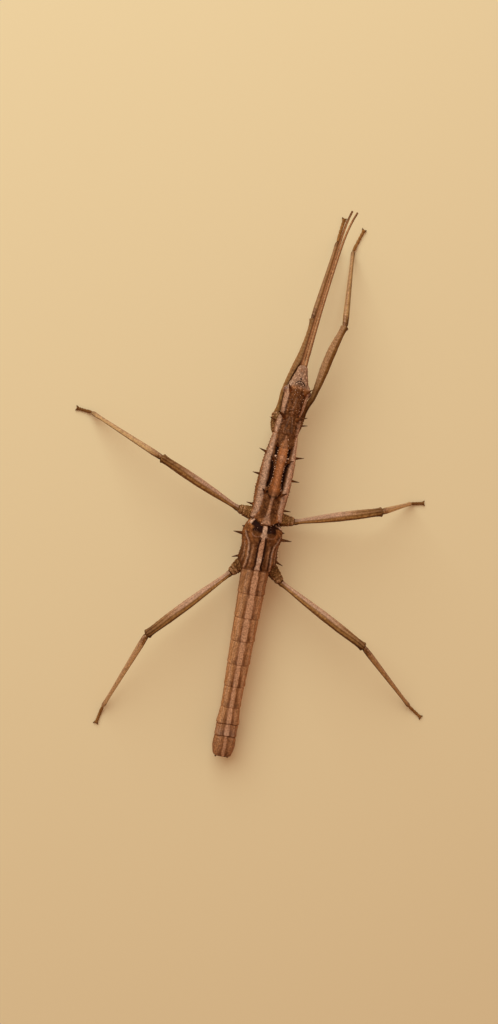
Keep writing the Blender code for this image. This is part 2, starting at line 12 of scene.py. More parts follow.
import bpy
import numpy as np
from mathutils import Matrix, Vector, noise


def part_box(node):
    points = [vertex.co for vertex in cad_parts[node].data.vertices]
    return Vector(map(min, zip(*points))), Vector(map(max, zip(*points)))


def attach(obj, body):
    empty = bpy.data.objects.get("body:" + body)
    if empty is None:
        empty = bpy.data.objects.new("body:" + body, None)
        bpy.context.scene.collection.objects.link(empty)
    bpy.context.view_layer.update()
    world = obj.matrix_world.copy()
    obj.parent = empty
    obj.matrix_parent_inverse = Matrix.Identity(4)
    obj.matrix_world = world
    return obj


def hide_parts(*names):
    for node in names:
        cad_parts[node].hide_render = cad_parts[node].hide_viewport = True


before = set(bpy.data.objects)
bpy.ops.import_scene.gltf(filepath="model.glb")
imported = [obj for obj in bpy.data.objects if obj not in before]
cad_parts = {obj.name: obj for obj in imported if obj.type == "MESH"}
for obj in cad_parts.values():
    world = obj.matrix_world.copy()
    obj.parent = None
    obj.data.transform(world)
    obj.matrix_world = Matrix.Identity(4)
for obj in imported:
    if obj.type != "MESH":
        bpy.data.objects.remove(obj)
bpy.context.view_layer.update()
MM = 0.001  # Blender works in metres

# %% [markdown]
# ## Where the body is
#
# The real animal bends a little at the neck, behind the middle thorax plate and where the abdomen
# starts. It is far easier to shape and paint a straight body and bend it at the end. So the trunk
# is built straight along Y, in millimetres, and one function gives each point its final place.
# The angles are those of the solids. Their shift over the floor is read from the eyes.

# %% The bend of the body
AXIS_HEIGHT = 14.4  # how high the middle of the body is held over the floor, in mm
BODY_PITCH, THORAX_YAW, HEAD_YAW = (math.radians(a) for a in (4.5, -0.8, -1.6))
REAR_PITCH, REAR_YAW = math.radians(2.8), math.radians(1.2)
ABDOMEN_PITCH, ABDOMEN_YAW = math.radians(5.2), math.radians(2.5)
HEAD_FRONT, NECK, PRO_REAR, META_REAR = 60.2, 41.3, 34.5, -17.3
JOINT_SOFTNESS = 1.2  # half the length over which a bend is spread


def turned(points, pitch, yaw, pivot=(0, 0, 0)):
    """Points turned about X and then about Z, round a pivot."""
    turn = np.array(Matrix.Rotation(yaw, 3, "Z") @ Matrix.Rotation(pitch, 3, "X"))
    return (points - pivot) @ turn.T + pivot


def mixed(first, second, share):
    """The first points where the share is 0, the second where it is 1, a blend between."""
    return first * (1 - share)[:, None] + second * share[:, None]


def smooth(value, low, high):
    """0 below low, 1 above high, and a soft ramp between."""
    t = np.clip((value - low) / (high - low), 0, 1)
    return t * t * (3 - 2 * t)


def bent(points):
    """Points of the straight body, in mm, at their places above the origin, still in mm."""
    y = points[:, 1]
    head = turned(turned(points, 0, HEAD_YAW, (0, NECK, 0)), BODY_PITCH, THORAX_YAW)
    thorax = turned(points, BODY_PITCH, THORAX_YAW)
    flex = ABDOMEN_PITCH - REAR_PITCH, ABDOMEN_YAW - REAR_YAW
    rear = turned(points, REAR_PITCH, REAR_YAW)
    abdomen = turned(turned(points, *flex, (0, META_REAR, 0)), REAR_PITCH, REAR_YAW)
    place = mixed(abdomen, rear, smooth(y, META_REAR - JOINT_SOFTNESS, META_REAR + JOINT_SOFTNESS))
    place = mixed(place, thorax, smooth(y, -JOINT_SOFTNESS, JOINT_SOFTNESS))
    place = mixed(place, head, smooth(y, NECK - JOINT_SOFTNESS, NECK + JOINT_SOFTNESS))
    return place + (0, 0, AXIS_HEIGHT)


EYE_PLACE = np.array([3.75, 50.6, 1.7])
EYE_RADIUS = 1.45
low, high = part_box("eye_R")
SHIFT = np.array((low + high) / 2) / MM - bent(EYE_PLACE[None])[0]
print("shift of the body in mm:", np.round(SHIFT, 2))


def in_frame(points):
    """Points of the straight body, in mm, at their real places in metres."""
    return (bent(np.asarray(points, float)) + SHIFT) * MM


# %% [markdown]
# ## Small tools
#
# Every limb here is a rod: a ring of points extruded from row to row. The helper adds a filled
# circle and extrudes and resizes it, as by hand. Dense pieces are then split finely with a
# Subdivision Surface modifier, and the fine forms are pressed in with code, like sculpting with
# a ruler.

# %% Helpers for meshes
def deselect():
    """Nothing selected, so that an operator touches only what is added or picked next."""
    for obj in bpy.context.selected_objects:
        obj.select_set(False)


def rod(name, rows, sides):
    """A closed rod along Y. Each row is (y, half width, half height, lift), in mm."""
    deselect()
    y, wide, high, lift = rows[0]
    bpy.ops.mesh.primitive_circle_add(
        vertices=sides, radius=1.0, fill_type="NGON", rotation=(math.pi / 2, 0, 0)
    )
    piece = bpy.context.object
    piece.name = piece.data.name = name
    bpy.ops.object.transform_apply(rotation=True)
    bpy.ops.object.mode_set(mode="EDIT")
    bpy.ops.mesh.select_all(action="SELECT")
    bpy.ops.transform.resize(value=(wide, 1, high), center_override=(0, 0, 0))
    bpy.ops.transform.translate(value=(0, y, lift))
    for near, far in zip(rows, rows[1:]):
        step = (0, far[0] - near[0], far[3] - near[3])
        bpy.ops.mesh.extrude_region_move(TRANSFORM_OT_translate={"value": step})
        growth = (far[1] / near[1], 1, far[2] / near[2])
        bpy.ops.transform.resize(value=growth, center_override=(0, far[0], far[3]))
    bpy.ops.mesh.select_all(action="SELECT")
    bpy.ops.mesh.normals_make_consistent(inside=False)
    bpy.ops.object.mode_set(mode="OBJECT")
    return piece


def apply_subdivision(piece, levels):
    """The piece with its faces split and rounded for good."""
    deselect()
    bpy.context.view_layer.objects.active = piece
    piece.select_set(True)
    modifier = piece.modifiers.new("smooth", "SUBSURF")
    modifier.levels = modifier.render_levels = levels
    bpy.ops.object.modifier_apply(modifier=modifier.name)
    return piece


def points_of(piece):
    """The points of a mesh as rows of x, y and z."""
    points = np.zeros(len(piece.data.vertices) * 3)
    piece.data.vertices.foreach_get("co", points)
    return points.reshape(-1, 3)


def move_points(piece, points):
    """The points of a mesh put at new places."""
    piece.data.vertices.foreach_set("co", np.asarray(points, float).ravel())
    piece.data.update()


print("mesh helpers:", rod.__name__, apply_subdivision.__name__, move_points.__name__)

# %% [markdown]
# A material cannot know that a point lies on a ridge or in a furrow, unless the mesh tells it. So
# each piece keeps three values at its points. The place, in mm of the straight body, is where the
# noise of the material is read, and it keeps the grain from sliding. The marks say how pale, dark,
# warm and tan the point is, and some of the pale and dark is painted highlight and painted shade.
# The tone makes a grain lighter or darker, and 0.6 is neutral; on the right swelling of the head it
# also holds painted light.

# %% Helpers for paint and finish
PLAIN_TONE = 0.6


def side_of(mark):
    """1 on the right of the body and -1 on the left."""
    return 1 if mark == "R" else -1


def paint(piece, name, values):
    """Keeps a value of each point for the materials: one number, three or four."""
    values = np.asarray(values, float)
    size = 1 if values.ndim == 1 else values.shape[1]
    kind = {1: "FLOAT", 3: "FLOAT_VECTOR", 4: "FLOAT_COLOR"}[size]
    field = {1: "value", 3: "vector", 4: "color"}[size]
    layer = piece.data.attributes.new(name, kind, "POINT")
    layer.data.foreach_set(field, values.ravel())


def dress(piece, points, place, marks, tone=PLAIN_TONE):
    """Paints the three values of a piece and puts its points, in metres, where they belong."""
    count = len(points)
    paint(piece, "place_mm", place)
    paint(piece, "marks", np.broadcast_to(marks, (count, 4)))
    paint(piece, "tone", np.broadcast_to(tone, count))
    move_points(piece, points)


def finish_piece(piece, material, slot, *nodes):
    """Shading, material, body and the solids that the piece stands for."""
    piece.data.shade_smooth()
    piece.data.materials.clear()
    piece.data.materials.append(material)
    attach(piece, "root")
    if nodes:
        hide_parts(*nodes)
    faces = sum(len(face.vertices) - 2 for face in piece.data.polygons)
    print(f"{piece.name}: {faces} triangles")
    return piece


print("paint helpers:", paint.__name__, dress.__name__, finish_piece.__name__)


# %% [markdown]
# ## The shape of the trunk
#
# Head, thorax and abdomen are one skin, so no gap shows between the plates. The half widths and
# half heights are those of the solids. They are laid in one table from the tail to the head, and
# every other cell reads the section from it.

# %% Profile of the trunk
TERGITE_LENGTHS = (9.3, 9.4, 9.1, 9.2, 8.7, 8.3, 6.4, 4.8, 8.8)  # rings 2 to 10 of the abdomen
JOINT_HALF_WIDTHS = (5.3, 5.0, 4.7, 4.45, 4.2, 3.9, 3.65, 4.25, 4.15, 3.5)
META_HALF_WIDTHS = (6.7, 7.6, 7.6, 7.0, 6.8, 7.2, 7.5, 6.0)
MESO_HALF_WIDTHS = (4.6, 5.2, 5.7, 6.1, 6.3, 6.4, 6.1, 5.8, 5.9)
PRO_HALF_WIDTHS = (3.9, 4.5, 4.6, 4.6)
HEAD_LIFT = 0.7
HEAD_STATIONS = (  # share of the head's length, half width, half height, lift
    (0.00, 3.3, 3.0, 0.0),
    (0.08, 4.1, 3.6, 0.0),
    (0.30, 4.5, 4.0, 0.1),
    (0.50, 4.4, 4.1, 0.3),
    (0.62, 3.8, 3.8, 0.2),
    (0.75, 3.0, 3.1, 0.1),
    (0.90, 2.1, 2.3, -0.1),
    (1.00, 1.7, 1.6, -0.2),
)
BOXINESS = 2.25  # 2 is an ellipse, and more is nearer to a box
JOINTS = META_REAR - np.concatenate([[0], np.cumsum(TERGITE_LENGTHS)])
TAIL = JOINTS[-1]


def plate_rows(front, rear, half_widths, depth):
    """Rows of a thorax plate from its rear to its front."""
    places = np.linspace(front, rear, len(half_widths))[::-1]
    return [(y, w, w * depth, 0.0) for y, w in zip(places, half_widths[::-1])]


def trunk_rows():
    """Rows of y, half width, half height and lift, from the tail to the snout."""
    rows = [(TAIL - 0.1, 3.2, 2.6, 0.0), (TAIL + 0.3, 3.5, 2.95, 0.0), (TAIL + 1.3, 3.85, 3.3, 0.0)]
    rows += [(TAIL + 3.7, 4.4, 3.6, 0.0), (TAIL + 6.5, 4.2, 3.5, 0.0)]
    for i in range(8, -1, -1):
        depth = 0.81 if i > 6 else 0.86
        rows.append((JOINTS[i], JOINT_HALF_WIDTHS[i], JOINT_HALF_WIDTHS[i] * depth, 0.0))
    rows += plate_rows(-0.6, META_REAR + 0.5, META_HALF_WIDTHS, 0.74)
    rows += plate_rows(PRO_REAR - 0.4, 0.3, MESO_HALF_WIDTHS, 0.82)
    rows += plate_rows(NECK - 0.4, PRO_REAR + 0.4, PRO_HALF_WIDTHS, 0.88)
    for share, wide, high, lift in HEAD_STATIONS:
        rows.append((NECK + 0.4 + (HEAD_FRONT - NECK - 0.4) * share, wide, high, HEAD_LIFT + lift))
    rows.append((HEAD_FRONT + 0.35, 1.2, 1.0, HEAD_LIFT - 0.2))
    return np.array(rows)


PROFILE = trunk_rows()
print("trunk from", round(PROFILE[0, 0], 1), "to", round(PROFILE[-1, 0], 1), "mm")

# %% [markdown]
# Straight lines between the rows of the table would leave corners, so each column is laid on a
# fine grid and blurred a little. Two functions then read it: one gives the point of the skin at an
# angle from the top, the other finds that angle for a point given by its distance from the middle.

# %% Section of the trunk
GRID_STEP = 0.1
BLUR_REACH, BLUR_WIDTH = 25, 8.0  # in steps of the grid
FINE_Y = np.arange(PROFILE[0, 0], PROFILE[-1, 0] + 0.01, GRID_STEP)
BLUR = np.exp(-0.5 * (np.arange(-BLUR_REACH, BLUR_REACH + 1) / BLUR_WIDTH) ** 2)
BLUR /= BLUR.sum()


def softened(column):
    """A column of the profile along the fine grid, with its corners rounded a little."""
    fine = np.interp(FINE_Y, PROFILE[:, 0], PROFILE[:, column])
    padded = np.pad(fine, BLUR_REACH, mode="edge")
    return np.convolve(padded, BLUR, mode="valid")


FINE_ROWS = [softened(column) for column in (1, 2, 3)]


def section(y):
    """Half width, half height and lift of the trunk at y."""
    return [np.interp(y, FINE_Y, values) for values in FINE_ROWS]


def on_section(y, angle, share=1.0):
    """Points of the trunk at an angle from the top, before its relief."""
    wide, high, lift = section(y)
    across, up = np.sin(angle), np.cos(angle)
    size = share * (np.abs(across) ** BOXINESS + np.abs(up) ** BOXINESS) ** (-1 / BOXINESS)
    return np.stack([wide * size * across, y, lift + high * size * up], axis=1)


def angle_at(x, y):
    """The angle from the top at which the back of the trunk has a given x."""
    wide = section(y)[0]
    ratio = np.clip(np.abs(x) / wide, 0, 0.999)
    up = (1 - ratio**BOXINESS) ** (1 / BOXINESS)
    return np.sign(x) * np.arctan2(ratio, up)


print("half width and half height at y 20:", *[round(float(v), 2) for v in section(20)[:2]], "mm")

# %% [markdown]
# ## Relief and markings of the back
#
# The back of this insect reads like bark. The middle thorax plate carries a raised orange-brown
# band edged with white beads, a deep black furrow on each side, and a pale ridge outside it. The
# rear plate has a waisted pair of thin ridges, two dark domes in front and a pale middle strip
# that runs on down the abdomen. Each of these is a line whose distance from the middle and half
# width change along the body, so each is written as a few stations. One pass gives both the
# height of the surface and the amount of each colour, so that relief and markings always agree.

# %% Lines on the back: (y, distance from the middle, half width)
BAND = ((34.2, 0, 0.3), (32, 0, 0.7), (30.4, 0, 1.3), (28.8, 0, 1.6), (25.8, 0, 1.95), (22, 0, 1.6))
BAND += ((18, 0, 1.7), (15.5, 0, 1.9), (13.4, 0, 2.4), (12, 0, 2.25), (10.9, 0, 1.7), (10.1, 0, 0.9))
MID_RIDGE = ((10.4, 0, 0.7), (9, 0, 0.5), (6, 0, 0.5), (3.5, 0, 0.8), (2, 0, 1.3), (0.1, 0, 1.7))
FRONT_FURROW = ((30.4, 2.6, 0.2), (29, 2.55, 0.45), (27.2, 2.5, 0.5), (26.1, 2.6, 0.35))
LONG_FURROW = ((24.7, 3.5, 0.25), (23.2, 3.1, 0.5), (21, 2.7, 0.55), (19, 2.55, 0.55))
LONG_FURROW += ((17, 2.6, 0.55), (15.3, 2.85, 0.45), (14.0, 3.2, 0.25))
PALE_RIDGE = ((34.2, 4.0, 0.4), (31, 4.2, 0.6), (27, 4.5, 0.85), (22, 4.65, 0.95), (17, 4.6, 1.0))
PALE_RIDGE += ((12, 4.45, 1.05), (8, 4.3, 1.0), (5, 4.4, 0.9), (2.6, 5.0, 0.65), (1.5, 5.5, 0.4))
STRIP = ((-0.6, 0, 0.65), (-1.6, 0, 0.85), (-4.5, 0, 1.0), (-4.85, 0, 1.0), (-4.95, 0, 0.55))
STRIP += ((-5.6, 0, 0.6), (-8, 0, 0.9), (-11, 0, 1.0), (-14, 0, 0.85), (-15.6, 0, 0.8), (-17.3, 0, 1.1))
WAIST_RIDGE = ((-3.4, 6.7, 0.2), (-5.5, 5.9, 0.28), (-7, 5.1, 0.3), (-8.5, 4.65, 0.3))
WAIST_RIDGE += ((-10.5, 4.4, 0.3), (-13, 4.4, 0.3), (-15.5, 4.6, 0.3), (-17.6, 4.8, 0.25))
OUTER_RIDGE = ((-6.5, 6.5, 0.15), (-9, 5.9, 0.22), (-12, 5.9, 0.22), (-15, 6.2, 0.15))
MARGIN = ((0, -0.1), (1.9, -0.1), (2.6, 0.7), (4.0, 1.5), (5.2, 1.8), (6.3, 1.4), (9, 1.2))
STRIPE_HALF_WIDTHS = (1.1, 1.2, 1.15, 1.0, 0.85, 0.8, 0.85, 0.9, 0.55)  # rings 2 to 10
JOINT_ARCS = (0.0, -0.01, -0.01, -0.01, -0.01, -0.02, -0.02, -0.04, -0.05, -0.05)  # 1/2 to tail
print("the band is", BAND[0][0] - BAND[-1][0], "mm long")

# %% [markdown]
# A line, a patch and a dash are each a number from 0 to 1 at every point. Soft edges matter more
# than exact outlines here, because nothing on a cuticle ends in a clean cut. The grains are the
# cells of a Voronoi pattern, packed like pebbles, and a soft noise makes the lines wander a little.

# %% Tools for lines, patches and grains
def top_of(angle):
    """1 on the back and 0 on the flanks and below."""
    return smooth(np.cos(angle), -0.1, 0.35)


def margin_at(x):
    """Where the front edge of the rear plate lies at x."""
    return np.interp(np.abs(x), [m[0] for m in MARGIN], [m[1] for m in MARGIN])


def band_half_width(y):
    """Half the width of the orange band at y."""
    return np.interp(y, [s[0] for s in BAND[::-1]], [s[2] for s in BAND[::-1]])


def line(x, y, stations, edge=0.22, outer=None):
    """1 on a line and 0 away from it. The outer edge may be softer than the inner one."""
    table = np.array(sorted(stations))
    centre = np.interp(y, table[:, 0], table[:, 1])
    half = np.interp(y, table[:, 0], table[:, 2])
    outer = edge if outer is None else outer
    inner = np.where(centre < 0.01, 1.0, smooth(np.abs(x) - centre + half, -edge, edge))
    across = inner * (1 - smooth(np.abs(x) - centre - half, -outer, outer))
    ends = smooth(y, table[0, 0] - edge, table[0, 0] + edge)
    return across * ends * (1 - smooth(y, table[-1, 0] - edge, table[-1, 0] + edge))


def spot(x, y, place, radii, edge=0.35):
    """1 in a patch on both sides of the middle and 0 away from it."""
    away = np.hypot((np.abs(x) - place[0]) / radii[0], (y - place[1]) / radii[1])
    return 1 - smooth(away, 1 - edge, 1 + edge)


def dash(x, y, start, end, half):
    """1 on a short straight dash between two points and 0 away from it."""
    way_x, way_y = end[0] - start[0], end[1] - start[1]
    share = ((x - start[0]) * way_x + (y - start[1]) * way_y) / (way_x**2 + way_y**2)
    share = np.clip(share, 0, 1)
    away = np.hypot(x - start[0] - share * way_x, y - start[1] - share * way_y)
    return 1 - smooth(away, half - 0.12, half + 0.14)


def between(y, rear, front, edge=0.4):
    """1 from the rear place to the front one and 0 beyond them."""
    return smooth(y, rear - edge, rear + edge) * (1 - smooth(y, front - edge, front + edge))


def soft_noise(points, scale, seed=0.0):
    """Soft noise from -1 to 1 at every point, always the same for the same place."""
    shift = Vector((seed, 3.7 * seed, -seed))
    return np.array([noise.noise(Vector(p) * scale + shift) for p in points])


def beads(points, size, fill=0.5):
    """Round grains packed side by side: 1 on top of a grain, 0 between the grains."""
    nearest = [noise.voronoi(Vector(p) / size)[0][0] for p in points]
    return np.clip(1 - (np.array(nearest) / fill) ** 2, 0, 1) ** 0.6


def tried(marks, x, y):
    """Prints what a set of marks gives at one place of the back, for a grain of middle height."""
    one = np.ones(1)
    height, pale, dark, warm, _ = marks(x * one, y * one, angle_at(x, y) * one, 0.5 * one)
    amounts = f"pale {pale[0]:.2f}, dark {dark[0]:.2f}, warm {warm[0]:.2f}"
    print(f"{marks.__name__} at x {x}, y {y}: height {height[0]:.2f} mm, {amounts}")


print("half width of the band at y 20:", round(float(band_half_width(20)), 2), "mm")

# %% [markdown]
# The next cells hold the relief and the colours as plain sums of those lines. Heights are in mm
# over the smooth section. Four amounts go with them: pale, dark, warm (the orange-brown of the
# middle band) and tone, which makes each grain a little lighter or darker. A fifth, tan, belongs
# to the abdomen and is worked out from the place alone.
#
# The head comes first. Its snout is beaded and pale, a black crescent lies between the eyes with
# one dark dot ahead of it, and a pale swelling runs along each side. A painter would do this by
# hand with texture paint. Sums of lines keep it exact and easy to change.

# %% Head
SIDE_SWELLING = ((41.9, 3.3, 0.6), (46, 3.6, 0.7), (50, 3.75, 0.65), (52.3, 3.6, 0.45), (54, 3.1, 0.4))


def head_marks(x, y, angle, grains):
    """Beaded snout, a crescent between the eyes, pale sides and a brown streaked back, the right side painted
    lighter as painted light.
    """
    side, top = np.abs(x), top_of(angle)
    snout = smooth(y + 0.3 * side, 52.2, 54.0)
    crescent = np.hypot(x, y - 52.5)
    arc = (1 - smooth(np.abs(crescent - 1.95), 0.08, 0.28)) * smooth(y, 52.8, 53.4)
    inside = (1 - smooth(crescent, 1.4, 1.9)) * smooth(y, 50.9, 51.6)
    lateral = line(x, y, SIDE_SWELLING, 0.3)
    # the right swelling is painted paler than the left: painted light on the side away from the lamp
    lateral *= np.where(x > 0, 1.35 * smooth(side, 3.2, 3.6), 0.86)
    median = line(x, y, ((42, 0, 0.2), (48.6, 0, 0.35)), 0.35)
    streaks = line(x, y, ((41.0, 1.2, 0.35), (49.0, 1.15, 0.45)), 0.4)
    streaks += line(x, y, ((41.0, 2.6, 0.35), (50.4, 2.6, 0.45)), 0.4)
    back = (1 - smooth(y, 50.4, 52.0)) * (1 - smooth(side, 2.8, 3.3))
    brow = spot(x, y, (0, 50.2), (2.4, 1.3), 0.5)
    neck = 1 - smooth(np.abs(y - NECK), 0.2, 0.7)
    height = 0.10 * snout * grains + 0.14 * lateral + 0.12 * inside * grains - 0.10 * arc
    height += 0.12 * brow - 0.08 * streaks * (1 - brow) - 0.06 * neck
    shade = spot(x - 1.3, y, (1.3, 46.8), (0.8, 2.6), 0.5) * (x > 0)
    shade += 0.7 * spot(x, y, (2.7, 44.0), (0.5, 2.4), 0.5)
    height += 0.10 * grains * (1 - top) + 0.08 * grains * back
    height += 0.42 * between(y, 51.3, 53.4, 0.5) * smooth(x, 2.4, 3.4)
    patches = spot(x, y, (0.6, 58.6), (0.5, 0.8)) + spot(x, y, (1.1, 56.4), (0.4, 0.5))
    cells = snout * smooth(grains, 0.3, 0.8)
    pale = top * (0.56 * snout + 0.3 * cells - 0.25 * patches + 0.8 * lateral + 0.6 * inside * grains)
    pale += top * back * (0.3 * median + 0.3 * smooth(grains, 0.6, 0.9))
    dark = top * (1.05 * arc + 0.36 * inside * (1 - grains) + 0.25 * streaks * back + 0.25 * back)
    dark += 0.95 * (1 - smooth(np.hypot(x + 0.15, y - 55.3), 0.25, 0.48)) + 0.12 * neck
    dark += 0.3 * snout * top * (1 - grains) + 0.3 * (1 - top) + 0.25 * shade * back * top
    # painted shade: a dark line along the outer edge of the head, where shade lies against the fore thighs
    dark += 0.6 * smooth(side, section(y)[0] * 0.955, section(y)[0] * 0.99)
    dark += 0.3 * top * brow * (1 - inside) + 0.4 * lateral * (x > 0) * (1 - grains)
    warm = top * (0.14 * brow * (1 - inside) + 0.08 * back + 0.2 * inside + 0.2 * smooth(y, 57.5, 59.0))
    tone = 0.6 + (grains - 0.55) * (0.75 * back + 0.45 * snout + 0.5 * inside + 0.35 * lateral)
    # painted light: the right swelling is made lighter still
    tone += 0.26 * lateral * (x > 0)
    return height, pale, dark, warm, tone


tried(head_marks, 3.6, 46.0)

# %% [markdown]
# The plate of the neck is short. Pale ridges go on along its sides, a shallow groove crosses it,
# and thin lines run down its dark middle.

# %% Plate of the neck
def neck_marks(x, y, angle, grains):
    """The short front plate, with a ridge at each side and a cross groove."""
    side, top = np.abs(x), top_of(angle)
    ridge = line(x, y, ((34.4, 3.9, 0.5), (38, 3.9, 0.8), (41.4, 3.7, 0.7)), 0.5)
    ridge *= np.where(x > 0, 0.9, 1.0)
    cross = 1 - smooth(np.abs(y - 38.0 + 0.04 * x * x), 0.1, 0.45)
    lines = line(x, y, ((38.0, 1.0, 0.16), (41.0, 0.5, 0.2)), 0.2)
    lines += line(x, y, ((35.0, 1.6, 0.16), (38.0, 1.0, 0.16)), 0.2)
    patch = spot(x, y, (0, 35.8), (1.0, 0.7), 0.5)
    centre = 1 - smooth(side, 3.0, 3.6)
    height = 0.22 * ridge - 0.08 * cross * centre + 0.10 * lines
    height += (0.12 + 0.06 * (1 - top)) * grains
    pale = top * (0.7 * ridge + 0.4 * lines + 0.2 * patch + 0.25 * smooth(grains, 0.6, 0.9))
    dark = top * (0.15 * cross + 0.45 * centre) + 0.3 * between(side, 4.6, 7.0)
    warm = 0.1 + 0 * top
    tone = 0.6 + (grains - 0.55) * 0.85
    return height, pale, dark, warm, tone


tried(neck_marks, 3.9, 38.0)

# %% [markdown]
# The middle plate is the showpiece: the orange band, the black furrows beside it, the pale ridges
# outside those, and small teeth on the edges. The band and the ridges stand proud, the furrows are
# nearly a millimetre deep, and the furrows are painted nearly black, partly as painted shade.

# %% Middle plate
def middle_marks(x, y, angle, grains):
    """The long plate of the middle thorax with its band, furrows and pale ridges."""
    side, top = np.abs(x), top_of(angle)
    band = line(x, y, BAND, 0.35)
    ridge = line(x, y, MID_RIDGE, 0.4)
    furrows = np.clip(line(x, y, FRONT_FURROW, 0.18) + line(x, y, LONG_FURROW, 0.18), 0, 1)
    pale_ridge = line(x, y, PALE_RIDGE, 0.3, 0.7)
    band_half = band_half_width(y)
    rim = (1 - smooth(np.abs(side - band_half), 0.1, 0.4)) * between(y, 11.5, 29.8, 0.8)
    lane = smooth(side, band_half, band_half + 0.3) * (1 - smooth(side, 3.6, 4.3))
    lane *= between(y, 11.5, 30.3, 1.0)
    chevron = (1 - smooth(np.abs(y - 12.2 + 0.9 * (side - 2.6)), 0.3, 0.8)) * between(side, 2.4, 4.6)
    rear_lane = between(y, 2.0, 10.8, 1.5) * smooth(side, 0.4, 0.9) * (1 - smooth(side, 2.6, 3.8))
    rear_lane *= 1.15 - 0.5 * grains
    front = between(y, 30.5, 36, 1.0) * (1 - smooth(side, 3.0, 3.6))
    teeth = smooth(side, 5.2, 5.8) * grains
    height = 0.38 * band * (1 - 0.8 * smooth(y, 28.0, 31.5)) + 0.26 * ridge - 0.95 * furrows
    height += 0.42 * pale_ridge - 0.22 * lane
    height += 0.10 * rim * grains + 0.05 * band * grains + 0.10 * pale_ridge * grains
    height += 0.16 * teeth + 0.07 * grains - 0.12 * rear_lane
    middle = np.exp(-((side / 0.9) ** 2))
    pale = top * (0.8 * pale_ridge + 0.42 * ridge + 0.5 * rim * smooth(grains, 0.55, 0.9))
    # painted highlight: the middle of the raised band is painted paler
    pale += top * band * (0.2 * middle + 0.2 * spot(x, y, (0, 25.5), (1.6, 1.2), 0.6))
    pale += top * 0.25 * (rear_lane + front) * smooth(grains, 0.6, 0.9)
    # the furrows are painted nearly black, partly as painted shade
    dark = top * (1.1 * furrows + 0.55 * lane * (1 - pale_ridge) + 0.45 * chevron)
    dark += top * (0.55 * rear_lane + 0.45 * front * (1 - 0.7 * band) + 0.55 * rim * (1 - grains))
    # painted shade: the band darkens towards its edges
    dark += 0.4 * top * band * (1 - middle) * between(y, 10, 27, 1.5) * (1.3 - 0.6 * grains)
    dark += 0.3 * top * band * (1 - smooth(y, 10.5, 14.0))
    warm = top * band * (0.9 - 0.6 * smooth(y, 27.5, 30.5)) * smooth(y, 10.5, 14.0)
    warm += 0.1 * (1 - top)
    tone = 0.6 + (grains - 0.55) * (0.65 - 0.2 * band + 0.25 * smooth(side, 4.6, 5.4))
    tone += np.where(x > 0, 0.12, -0.06) * pale_ridge
    return height, pale, np.clip(dark, 0, 1.0), warm, tone


tried(middle_marks, 0.0, 20.0)

# %% [markdown]
# The rear plate starts with a black collar that curves round two dark domes. A pale strip runs
# down its middle, and a pair of thin ridges narrows to a waist and widens again.

# %% Rear plate
def ridge_shadow(x, y):
    """The darker side of the waisted ridges, towards the middle."""
    inner = [(s[0], s[1] - 0.6, 0.3) for s in WAIST_RIDGE]
    return line(x, y, inner, 0.35)


def rear_marks(x, y, angle, grains):
    """The plate of the rear thorax: black collar, two domes, waisted ridges, middle strip."""
    side, top = np.abs(x), top_of(angle)
    behind = margin_at(x) - y
    collar = smooth(behind, 0.1, 0.5) * (1 - smooth(behind, 2.4, 3.3)) * smooth(side, 0.7, 1.1)
    collar *= 1 - smooth(side - 0.9 * (x > 0), 5.0, 5.5)
    dome = spot(x, y, (2.65, -2.8), (1.9, 1.9), 0.25)
    away = np.hypot((side - 2.65) / 1.9, (y + 2.8) / 1.9)
    lip = (1 - smooth(np.abs(away - 1.12), 0.05, 0.18)) * smooth(-y, 3.4, 4.3) * (side > 1.0)
    strip = line(x, y, STRIP, 0.2)
    beside = np.clip(line(x, y, [(s[0], 0, s[2] + 0.7) for s in STRIP], 0.6) - strip, 0, 1)
    beside *= smooth(-y, 4.2, 5.5)
    ridges = line(x, y, WAIST_RIDGE, 0.22)
    outer = line(x, y, OUTER_RIDGE, 0.2)
    streak = line(x, y, ((-16.5, 3.3, 0.35), (-8, 3.1, 0.35)), 0.35)
    shoulder = dash(x, y, (-4.5, 1.5), (-5.4, -0.3), 0.32)
    shoulder += dash(x, y, (4.1, 0.25), (6.6, -0.85), 0.28) * (0.45 + 0.55 * smooth(x, 5.0, 5.8))
    inner = (1 - smooth(side, 3.9, 4.6)) * smooth(-y, 4.6, 5.6)
    flank = smooth(side, 4.9, 5.8) * smooth(-y, 7.5, 10.0)
    height = 0.4 * np.sqrt(np.clip(1 - away**2, 0, 1)) - 0.35 * collar + 0.20 * strip
    height += 0.40 * ridges + 0.18 * outer + 0.14 * lip - 0.10 * beside + 0.2 * shoulder
    height += (0.04 + 0.14 * smooth(side, 5.6, 6.4)) * grains
    orange = strip * between(y, -12.5, -5.5, 1.0)
    pale = top * (0.9 * strip - 0.4 * orange + 0.6 * ridges + 0.3 * outer + 0.35 * lip + 0.2 * streak)
    pale += 1.3 * shoulder
    dark = top * (1.0 * collar + dome * (0.4 + 0.55 * smooth(y, -3.9, -2.3)) + 0.75 * beside) * (1 - shoulder)
    dark += 0.3 * top * inner * (1 - strip) * (1 - streak) + 0.45 * top * ridge_shadow(x, y)
    dark += 0.45 * flank * (1 - outer) + 0.15 * top * smooth(x, 0.8, 2.0) * inner
    dark += 0.08 * top * (1 - strip) * (1 - ridges)
    warm = 0.7 * top * orange
    tone = 0.6 + (grains - 0.55) * (0.5 + 0.4 * smooth(side, 5.0, 6.0)) + 0.3 * shoulder
    return height, np.clip(pale, 0, 1), np.clip(dark, 0, 1), warm, tone


tried(rear_marks, 0.0, -10.0)

# %% [markdown]
# The abdomen is nine rings. All follow one pattern, so the marks are worked out once, by how far
# along its own ring a point lies: a pale stripe that widens towards the rear, dark columns beside
# it, two dots, and a raised lip. The last two rings differ a little.

